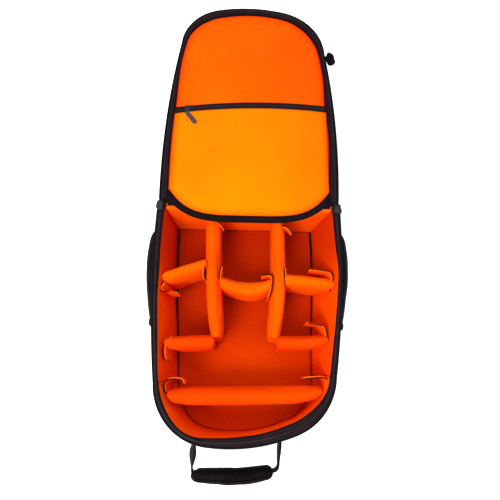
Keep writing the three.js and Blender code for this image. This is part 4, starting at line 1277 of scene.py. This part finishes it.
def build_lid_lining():
    zip_half = POCKET_ZIP_WIDTH / 2

    def pocket_lift(s, t):
        edge = min(1, 6 * (1 - abs(s))) * min(1, 7 * t) * min(1, 6 * (1 - t))
        wave = 0.7 * rough(s * 120, t * 180, 0, 60, 4) + 0.3 * rough(s * 120, t * 180, 0, 22, 6)
        return edge * (1.0 + wave) - 0.9 * (1 - min(1, 6 * (1 - abs(s)))) - 0.6

    panel = across_lid(
        "pocket_panel", lip_at, lambda s: pocket_zip_at(s) - zip_half - GAP, LINING_BOTTOM, LINING_TOP, pocket_lift
    )
    rim = [to_world(s * LINING_HALF, lip_at(s), LINING_TOP, True) for s in np.linspace(-1, 1, 160)]
    rim += [to_world(side * LINING_HALF, v, LINING_TOP, True) for side in (-1, 1) for v in range(20, 168, 2)]
    # Painted shade along the pocket panel's lip and sides.
    mark_painted_edge_shade(panel, rim, 6)
    dress(panel, "pocket_lining", "lid_pocket_panel")

    tape = across_lid(
        "pocket_zip_tape",
        lambda s: pocket_zip_at(s) - zip_half,
        lambda s: pocket_zip_at(s) + zip_half,
        LINING_BOTTOM,
        LINING_TOP - 0.6,
        lambda s, t: 0.5 * math.cos(2 * math.pi * t) ** 2,
        40,
        8,
    )
    dress(tape, "zip_tape", "lid_pocket_zip")
    line = [to_world(s * LINING_HALF, pocket_zip_at(s), LINING_TOP - 0.2, True) for s in np.linspace(-0.99, 0.99, 40)]
    zip_line("pocket_zip_coil", line, coil=1.9)
    for word, side in (("far", 1), ("near", -1)):
        edge = [
            to_world(s * LINING_HALF, pocket_zip_at(s) + side * (zip_half - 0.4), LINING_TOP - 0.3, True)
            for s in np.linspace(-1, 1, 50)
        ]
        dress(sweep("pocket_zip_edge_" + word, edge, bar(2.2, 0.9)), "zip_tape")

    # The folded binding along the lip that hangs out over the compartment
    def binding_lift(s, t):
        return 0.6 * math.sin(math.pi * t) ** 0.7 + 0.35 * rough(s * 120, t * 9, 0, 26, 8)

    binding = across_lid(
        "lip_binding", binding_at, lambda s: lip_at(s) - GAP, LINING_BOTTOM, LINING_TOP - 0.4, binding_lift, 64, 10
    )
    dress(binding, "binding", "lid_binding")
    edge = [to_world(s * LINING_HALF, binding_at(s), LINING_TOP, True) for s in np.linspace(-1, 1, 65)]
    for name, curve, drop, radius in (
        ("lip_seam", lambda s: lip_at(s) - 1.2, 0.1, 1.0),
        ("lip_edge", lambda s: binding_at(s) + 1.3, -0.9, 1.5),
    ):
        path = [to_world(s * LINING_HALF, curve(s), LINING_TOP + drop, True) for s in np.linspace(-1, 1, 70)]
        dress(sweep(name, path, circle(radius, 8)), "binding")


def build_lid_pad():
    """The lid's upper lining, slightly hollow in the middle, over its padding."""
    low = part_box("lid_pad")[0].z / MM
    shoulder = TAPE_BOTTOM - GAP
    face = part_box("lid_pad")[1].z / MM
    wall = LID_SWELL + SHELL_WALL + GAP

    def inner(share):
        return band_inner(share) + 0.7

    rows = [
        ring_round(wall, wall, low, True, LID_LENGTH),
        ring_round(wall, wall, shoulder, True, LID_LENGTH),
        ring_round(inner, 9.3, shoulder, True, LID_LENGTH),
    ]
    for more, lift in ((0.4, 1.2), (1.6, 2.2), (4, 2.7)):
        ring = ring_round(lambda share, m=more: inner(share) + m, 9.3 + more, shoulder, True, LID_LENGTH)
        rows.append([Vector((p.x, p.y, p.z + lift * MM)) for p in ring])
    last = ring_round(lambda share: inner(share) + 6, 15.3, shoulder, True, LID_LENGTH)

    def lift_at(p, t):
        x, y = p.x / MM, p.y / MM
        bump = 0.45 * rough(x, y, 0, 60, 15) + 0.2 * rough(x, y, 0, 20, 16)
        return lerp(2.8, 2.1, smooth(t * 3)) + bump * min(1, 6 * t)

    rows += closing_rings(last, LID_LENGTH, [0, 0.04, 0.1, *np.linspace(0.17, 0.95, 16), 0.99], lift_at, True)
    pad = loft("lid_lining", rows, sliver=True)
    # Painted shade along the lid lining's edge by the zip band.
    mark_painted_edge_shade(pad, resample(offset_path(LID_LENGTH, inner, shoulder + 2.5, True), 2 * MM), 7)
    dress(pad, "lid_lining", "lid_pad")
    return face


def build_lid_shell():
    form = [(1, 0.1), (0.97, 0.45), (0.9, 0.72), (0.8, 0.88), (0.6, 1.0), (0.4, 0.98), (0.25, 0.8), (0.15, 0.5)]
    depth = RIM - LID_BOTTOM

    def crumple(p, z):
        out = (p - Vector((0, LID_LENGTH / 2))).normalized()
        return p + out * (0.5 * rough(p.x, p.y, z, 30, 18))

    outer = [
        ring_round(LID_SWELL * (1 - out), 0.6, RIM - drop * depth, True, LID_LENGTH, bulge=crumple)
        for drop, out in form
    ]
    top = TAPE_BOTTOM - 0.2
    outer.append(ring_round(LID_SWELL, 0.6, top, True, LID_LENGTH))
    wall = LID_SWELL + SHELL_WALL
    inner = [
        ring_round(wall, 0.6 + SHELL_WALL, top, True, LID_LENGTH),
        ring_round(wall, 0.6 + SHELL_WALL, LID_BOTTOM + SHELL_WALL, True, LID_LENGTH),
    ]
    first = outer[0]
    under = []
    for k in range(9, 0, -1):
        ring = []
        for p in first:
            centre = to_world(0, LID_LENGTH / 2, LID_BOTTOM, True)
            q = centre.lerp(p, k / 10)
            dent = 0.8 * rough(q.x / MM, q.y / MM, 0, 70, 19)
            ring.append(Vector((q.x, q.y, q.z + max(dent, 0) * MM)))
        under.append(ring)
    shell = loft("lid_shell_cloth", under[::-1] + outer + inner)
    dress(shell, "nylon", "lid_shell")
    sewn_area(LID_LENGTH, depth)
    for name, z, inset in (("lid_piping_rim", RIM - 2.4, 3.2), ("lid_piping_front", LID_BOTTOM + 1.6, 1.2)):
        path = ring_round(inset, 0.6, z, True, LID_LENGTH)
        dress(sweep(name, path, circle(1.5, 8), closed=True), "binding")

    zip_z = (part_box("front_pocket_zip")[0].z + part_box("front_pocket_zip")[1].z) / 2 / MM
    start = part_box("front_pocket_zip")[0].y / MM - FOLD_Y / MM
    path = [p for p in offset_path(LID_LENGTH, -1.2, zip_z, True) if p.y / MM - FOLD_Y / MM >= start]
    tape = sweep("front_zip_tape", path, bar(1.5, 9.0, 0.5))
    dress(tape, "zip_tape", "front_pocket_zip")
    coil = [p for p in offset_path(LID_LENGTH, -2.2, zip_z, True) if p.y / MM - FOLD_Y / MM >= start]
    zip_line("front_zip_coil", coil, coil=1.5)


def soft_box(name, size, place, turn=0.0, round_by=1.2):
    """A rounded block, sizes in millimetres, place in metres."""
    made = bmesh.new()
    bmesh.ops.create_cube(made, size=1)
    for v in made.verts:
        v.co = Vector([c * s * MM for c, s in zip(v.co, size)])
    bmesh.ops.bevel(made, geom=made.edges[:], offset=round_by * MM, segments=3, profile=0.6, affect="EDGES")
    mesh = bpy.data.meshes.new(name)
    made.to_mesh(mesh)
    made.free()
    mesh.transform(Matrix.Translation(place) @ Matrix.Rotation(turn, 4, "Z"))
    for face in mesh.polygons:
        face.use_smooth = True
    thing = bpy.data.objects.new(name, mesh)
    bpy.context.scene.collection.objects.link(thing)
    return thing


def join(name, parts):
    """Makes one object of several."""
    made = bmesh.new()
    for part in parts:
        made.from_mesh(part.data)
        bpy.data.objects.remove(part)
    mesh = bpy.data.meshes.new(name)
    made.to_mesh(mesh)
    made.free()
    thing = bpy.data.objects.new(name, mesh)
    bpy.context.scene.collection.objects.link(thing)
    for face in mesh.polygons:
        face.use_smooth = True
    return thing


def node_middle(node):
    low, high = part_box(node)
    return (low + high) / 2


# Where the zip's ends are turned over in a knot beside the fold: x and v
KNOT = {-1: (-135.4, 9.5), 1: (136.2, 12)}


def blob(name, centre, radii, lump, seed, turn=0.0):
    """A soft filled lump of cloth, radii in millimetres."""
    rings = []
    levels, sides = 14, 28
    for j in range(1, levels):
        polar = math.pi * j / levels
        ring = []
        for k in range(sides):
            angle = 2 * math.pi * k / sides
            way = Vector((math.sin(polar) * math.cos(angle), math.sin(polar) * math.sin(angle), math.cos(polar)))
            swell = 1 + lump * 0.16 * noise.noise(way * 1.6 + Vector((seed, 0, 0)))
            x, y, z = (c * r * swell for c, r in zip(way, radii))
            across = x * math.cos(turn) - y * math.sin(turn)
            along = x * math.sin(turn) + y * math.cos(turn)
            ring.append(centre + Vector((across, along, z)) * MM)
        rings.append(ring)
    return loft(name, rings)


def build_sliders():
    for word, side in (("left", -1), ("right", 1)):
        node = "main_zip_slider_" + word
        middle = node_middle(node)
        z = RIM + 1.8
        body = [
            soft_box("a", (9, 13, 2.2), Vector((middle.x, middle.y - 1.5 * MM, z * MM)), side * -0.1, 0.9),
            soft_box("b", (9, 13, 1.6), Vector((middle.x, middle.y - 1.5 * MM, (z + 2.6) * MM)), side * -0.1, 0.7),
            soft_box("c", (3, 9, 3.0), Vector((middle.x, middle.y - 1 * MM, (z + 1.4) * MM)), side * -0.1, 0.8),
        ]
        dress(join("zip_slider_" + word, body), "slider", node)
        centre = to_world(KNOT[side][0], KNOT[side][1], RIM - 1.5)
        dress(blob("zip_end_" + word, centre, (8.2, 8.6, 6.2), 0.8, 30 + side), "zip_tape")

    # The lining pocket's slider with its cord pull
    middle = node_middle("lid_pocket_slider")
    base = middle.z / MM
    body = [
        soft_box("a", (8, 10, 1.6), Vector((middle.x, middle.y, (base - 0.2) * MM)), 0, 0.7),
        soft_box("b", (2.6, 8, 2.6), Vector((middle.x, middle.y, (base + 1.0) * MM)), 0, 0.8),
    ]
    dress(join("pocket_slider", body), "slider", "lid_pocket_slider")
    low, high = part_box("lid_pocket_pull")
    z = (low.z + high.z) / 2
    start, stop = Vector((low.x + 1 * MM, high.y - 1 * MM, z)), Vector((high.x - 1 * MM, low.y + 1 * MM, z))
    grip = [start.lerp(stop, t) for t in (0, 0.03, 0.08, 0.2, 0.35, 0.5, 0.65, 0.8, 0.92, 0.97, 1)]
    widths = [0.45, 0.7, 0.85, 0.95, 1, 1, 1, 1, 0.95, 0.75, 0.45]
    rings = []
    for (p, (side, over)), k in zip(zip(grip, frames_along(grip)), widths):
        rings.append([p + side * (a * k * MM) + over * (b * MM) for a, b in bar(7.4, 2.2, 0.45)])
    dress(loft("pocket_pull", rings), "pull", "lid_pocket_pull")


def build_front_pull():
    """The soft pull that stands out of the lid's side."""
    low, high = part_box("front_pocket_pull")
    middle = (low + high) / 2
    half = (high - low) / 2 / MM
    middle = middle + Vector((1.5 * MM, 6 * MM, 0))
    lump = blob("lump", middle, (half.x - 0.8, half.y - 2, half.z + 1.2), 1.2, 41, 0.12)
    stem = [
        Vector((low.x - 2 * MM, middle.y + 1 * MM, middle.z)),
        Vector((middle.x, middle.y, middle.z + 1 * MM)),
    ]
    root = sweep("root", resample(stem, 2 * MM), bar(11, 5, 0.5))
    dress(join("front_pull", [lump, root]), "nylon", "front_pocket_pull")


def build_gusset():
    low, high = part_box("hinge_gusset")
    rings = []
    columns, rows = 40, 8
    for i in range(columns + 1):
        x = lerp(low.x, high.x, i / columns)
        top, bottom = [], []
        for j in range(rows + 1):
            t = j / rows
            y = lerp(low.y, high.y, t)
            dip = -1.2 * math.exp(-(((t - 0.5) / 0.12) ** 2)) + 0.3 * rough(x / MM, y / MM, 0, 18, 3)
            top.append(Vector((x, y, high.z + dip * MM)))
            bottom.append(Vector((x, y, low.z + (dip if dip < 0 else 0) * MM)))
        rings.append(top + bottom[::-1])
    gusset = loft("fold_gusset", rings)
    dress(gusset, "nylon", "hinge_gusset")


# Handle

HANDLE_LEFT = -70
HANDLE_RIGHT = 53.5
HANDLE_REACH = 52
GRIP_THICK = 20.5
GRIP_HEIGHT = 32
GRIP_FORM = [(0, 0.8), (0.2, 0.95), (0.45, 1), (0.75, 0.98), (1, 0.88)]
HANDLE_ROUTE = [
    (0, -0.06),
    (-0.02, 0.5),
    (-0.02, 0.84),
    (0.03, 0.985),
    (0.18, 1.02),
    (0.42, 1.06),
    (0.65, 1.045),
    (0.9, 0.95),
    (0.965, 0.86),
    (0.975, 0.6),
    (1, -0.06),
]


def build_handle():
    centre = RIM - 60

    def shell_end(x):
        rows = [p for p in outline(LENGTH, lean_at(centre), 0) if p.y > LENGTH * 0.7]
        rows.sort(key=lambda p: p.x)
        return float(np.interp(x, [p.x for p in rows], [p.y for p in rows]))

    ends = shell_end(HANDLE_LEFT), shell_end(HANDLE_RIGHT)
    path = []
    for across, reach in HANDLE_ROUTE:
        foot = lerp(*ends, clamp(across))
        path.append(to_world(lerp(HANDLE_LEFT, HANDLE_RIGHT, across), foot + reach * HANDLE_REACH, centre))
    line = resample(curve_through(path, 10), 3 * MM)
    total = len(line)
    rings = []
    for i, (p, (side, over)) in enumerate(zip(line, frames_along(line))):
        s = i / (total - 1)
        twist = 0.5 * math.exp(-(((s - 0.12) / 0.07) ** 2)) - 0.12 * math.exp(-(((s - 0.9) / 0.07) ** 2))
        a_dir = side * math.cos(twist) + over * math.sin(twist)
        b_dir = over * math.cos(twist) - side * math.sin(twist)
        rings.append([p + a_dir * (a * MM) + b_dir * (b * MM) for a, b in bar(2.4, 24, 0.5)])
    dress(loft("handle_strap", rings), "webbing", "handle_webbing")

    # Padded grip: a wrap closed over the webbing
    held = resample([p for i, p in enumerate(line) if 0.215 < i / (total - 1) < 0.758], 1.6 * MM)
    rings = []
    sides = 28
    for i, (p, (side, over)) in enumerate(zip(held, frames_along(held))):
        s = i / (len(held) - 1)
        edge = min(s, 1 - s)
        swell = eased(GRIP_FORM, 1, s, 0.03) * max(math.sqrt(1 - (1 - clamp(edge / 0.08)) ** 2), 0.25)
        ring = []
        for k in range(sides):
            angle = 2 * math.pi * k / sides
            flat = math.cos(angle), math.sin(angle)
            crease = 0.5 * rough(p.x / MM, flat[0] * 9, flat[1] * 9, 14, 7)
            a = (GRIP_THICK / 2 * swell + crease) * math.copysign(abs(flat[0]) ** 0.85, flat[0])
            b = (GRIP_HEIGHT / 2 * (0.5 + swell / 2) + crease) * math.copysign(abs(flat[1]) ** 0.85, flat[1])
            ring.append(p + side * (a * MM) + over * (b * MM))
        rings.append(ring)
    grip = loft("grip_wrap", rings)
    inflate(grip, 3.0, 1.0)
    subdivide(grip)
    dress(grip, "nylon", "handle_grip")
    flap = [p + over * (16.6 * MM) + side * (4 * MM) for p, (side, over) in zip(held, frames_along(held))][6:-6]
    dress(sweep("grip_flap_edge", flap, bar(2.2, 1.0)), "binding")


# Side pockets

POCKET_START = 38
POCKET_END = 190
POCKET_LOW = 34
POCKET_HIGH = 92
POCKET_BULGE = 21.3
POCKET_CLOTH = 1.6
HEM_LENGTH = 9
POCKET_FORM = [(0, 0.55), (0.08, 0.86), (0.3, 1), (0.55, 0.98), (0.8, 0.8), (1, 0.62)]


@functools.cache
def shell_rows(height):
    rows = outline(LENGTH, lean_at(height), 0)[: len(plan(LENGTH)) // 3]
    return np.array([p.y for p in rows]), np.array([p.x for p in rows])


def shell_x(v, z):
    return float(np.interp(v, *shell_rows(round(z))))


def build_side_pocket(side, word):
    sections = 22
    mouth = POCKET_END - HEM_LENGTH

    def swell_at(v, angle):
        share = clamp((v - POCKET_START) / (mouth - POCKET_START))
        bulge = eased(POCKET_FORM, 1, share, 0.04) * POCKET_BULGE
        bulge *= math.sin(math.pi / 2 * clamp((v - POCKET_START + 3) / 9))
        return bulge * max(math.sin(angle), 0) ** 0.7

    def cloth_point(v, angle, less, pleat=0.0):
        z = lerp(POCKET_LOW, POCKET_HIGH, (1 - math.cos(angle)) / 2)
        share = clamp((v - POCKET_START) / (mouth - POCKET_START))
        folds = 0.9 * rough(v, z * 1.6, side * 9, 26, 11) + 0.6 * math.sin(z * 0.55 + share * 3) * share**2
        swell = max(swell_at(v, angle) + folds * math.sin(angle) - less + pleat, 0.2)
        return to_world(side * (shell_x(v, z) + swell), v, z)

    angles = [math.pi * k / sections for k in range(sections + 1)]
    stations = [POCKET_START, POCKET_START + 1.5, POCKET_START + 4, *np.linspace(POCKET_START + 8, mouth, 28)]
    rings = []
    for v in stations:
        outer = [cloth_point(v, a, 0) for a in angles]
        inner = [cloth_point(max(v, POCKET_START + 1), a, POCKET_CLOTH) for a in angles]
        rings.append(outer + inner[::-1])
    pocket = loft("pocket_" + word, rings)
    subdivide(pocket)
    dress(pocket, "nylon", "side_pocket_" + word)

    # Gathered elastic hem
    stations = list(np.linspace(mouth - 1, POCKET_END, 7))
    fine = [math.pi * k / 66 for k in range(67)]
    rings = []
    for j, v in enumerate(stations):
        bead = 0.8 * math.sin(math.pi * j / 6)
        outer = [cloth_point(v, a, -0.5 - bead, 0.35 * math.sin(a * 66)) for a in fine]
        inner = [cloth_point(v, a, 2.0, 0.0) for a in fine]
        rings.append(outer + inner[::-1])
    hem = loft("pocket_hem_" + word, rings)
    dress(hem, "binding", "side_pocket_hem_" + word)
    fullest = [cloth_point(lerp(POCKET_START, mouth, 0.4), a, 0) for a in angles]


# Harness

HARNESS_THICK = 10
STRAP_WIDTH = 60
STRAP_FORM = [(0.3, 0.95, 0.9), (0.32, 0.8, 1), (0.4, 0.64, 1), (0.52, 0.52, 0.95), (0.6, 0.44, 0.85), (0.62, 0.4, 0.6)]


def slab(name, rings_at, low, high, round_by=2.5, levels=6):
    """A padded slab with rounded edges: rings_at(inset, z) gives a closed plan ring."""
    rows = []
    for k in range(levels + 1):
        angle = math.pi * k / levels
        inset = round_by * (1 - math.sin(angle))
        rows.append(rings_at(inset, lerp(low, high, (1 - math.cos(angle)) / 2)))
    return rows


def build_back_panel():
    low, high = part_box("back_panel")
    inset = 16
    bottom, top = low.z / MM, high.z / MM

    def ring(more, z):
        return ring_round(inset + more, inset + more, z)

    rows = []
    for more in (90, 70, 52, 36, 24, 14, 7):
        points = []
        for p in ring(more, bottom):
            x = (p.x - MID_X) / MM
            channel = 2.6 * math.exp(-(((x) / 14) ** 2)) + 1.2 * math.exp(-(((abs(x) - 66) / 7) ** 2))
            points.append(Vector((p.x, p.y, p.z + channel * MM)))
        rows.append(points)
    rows += slab("back", ring, bottom, top)
    pad = loft("back_padding", rows)
    dress(pad, "mesh", "back_panel")
    edge = ring_round(inset - 0.4, inset - 0.4, (bottom + top) / 2 + 1.5)
    dress(sweep("back_edge", edge, circle(1.8, 8), closed=True), "binding")


def build_lumbar():
    low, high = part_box("lumbar_pad")
    middle = (low + high) / 2
    half_x, half_y = (high.x - low.x) / 2 / MM, (high.y - low.y) / 2 / MM
    corner = 22

    def ring(more, z):
        points = []
        w, h, r = half_x - more, half_y - more, max(corner - more, 3)
        for cx, cy, first in ((1, 1, 0), (-1, 1, 90), (-1, -1, 180), (1, -1, 270)):
            for k in range(9):
                a = math.radians(first + 90 * k / 8)
                points.append((cx * (w - r) + r * math.cos(a), cy * (h - r) + r * math.sin(a)))
        return [Vector((middle.x + x * MM, middle.y + y * MM, z * MM)) for x, y in points]

    rows = []
    for more in (36, 28, 20, 12, 6):
        points = []
        for p in ring(more, 0):
            y = (p.y - middle.y) / MM
            points.append(Vector((p.x, p.y, p.z + 1.4 * math.exp(-((y / 3.5) ** 2)) * MM)))
        rows.append(points)
    rows += slab("lumbar", ring, 0, HARNESS_THICK)
    pad = loft("lumbar_padding", rows)
    subdivide(pad)
    dress(pad, "mesh", "lumbar_pad")
    dress(sweep("lumbar_edge", ring(-0.2, 5.4), circle(1.5, 8), closed=True), "binding")


def build_strap(side, word):
    table = [(v, x, wide) for x, v, wide in STRAP_FORM][::-1]

    def edge(share, more, z):
        x = side * eased(table, 1, share, 0.03) * WIDTH / 2
        half = eased(table, 2, share, 0.02) * STRAP_WIDTH / 2 - more
        return x, half

    low, high = table[0][0], table[-1][0]
    stations = np.linspace(low, high, 46)

    def ring(more, z):
        shift = more / LENGTH
        rows = [(edge(s, more, z), clamp(s, low + shift, high - shift)) for s in stations]
        right = [to_world(x + half, s * LENGTH, z) for (x, half), s in rows]
        left = [to_world(x - half, s * LENGTH, z) for (x, half), s in rows]
        return right + left[::-1]

    rows = [ring(more, 0) for more in (18, 12, 6)]
    rows += slab("strap", ring, 0, HARNESS_THICK)
    strap = loft("strap_" + word, rows)
    subdivide(strap)
    dress(strap, "nylon", "shoulder_strap_" + word)
    path = [p for i, p in enumerate(ring(-0.2, 5.0)) if i % 2 == 0]
    dress(sweep("strap_edge_" + word, path, circle(1.6, 8), closed=True), "binding")
    # Daisy webbing down the strap's outer face, which lies on the ground
    line = [to_world(edge(s, 0, 0)[0], s * LENGTH, 0.9) for s in stations[2:-2]]
    dress(sweep("strap_tape_" + word, line, bar(20, 1.4, 0.5)), "webbing")
    low_box, high_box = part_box("strap_webbing_" + word)
    z = (low_box.z + high_box.z) / 2
    far = Vector(((low_box.x if side > 0 else high_box.x) + side * 12.5 * MM, low_box.y, z))
    near = Vector(((high_box.x if side > 0 else low_box.x) - side * 12.5 * MM, high_box.y, z))
    line = curve_through([far, far.lerp(near, 0.5) + Vector((0, 0, 1.2 * MM)), near], 12)
    dress(sweep("strap_web_" + word, line, bar(25, 1.7, 0.5)), "webbing", "strap_webbing_" + word)


def finish_kept_nodes():
    """Frame nodes whose shape is right get a finished material."""
    for word in ("left", "right"):
        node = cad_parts["strap_buckle_" + word]
        node.data.materials.clear()
        node.data.materials.append(MATERIALS["plastic"])


build_camera()
build_stage()
build_body_shell()
build_wall_pads()
build_floor_pad()
build_dividers()
build_main_zips()
build_lid_shell()
build_lid_pad()
build_lid_lining()
build_gusset()
build_sliders()
build_front_pull()
build_handle()
for pocket_side, pocket_word in ((-1, "left"), (1, "right")):
    build_side_pocket(pocket_side, pocket_word)
    build_strap(pocket_side, pocket_word)
build_back_panel()
build_lumbar()
finish_kept_nodes()
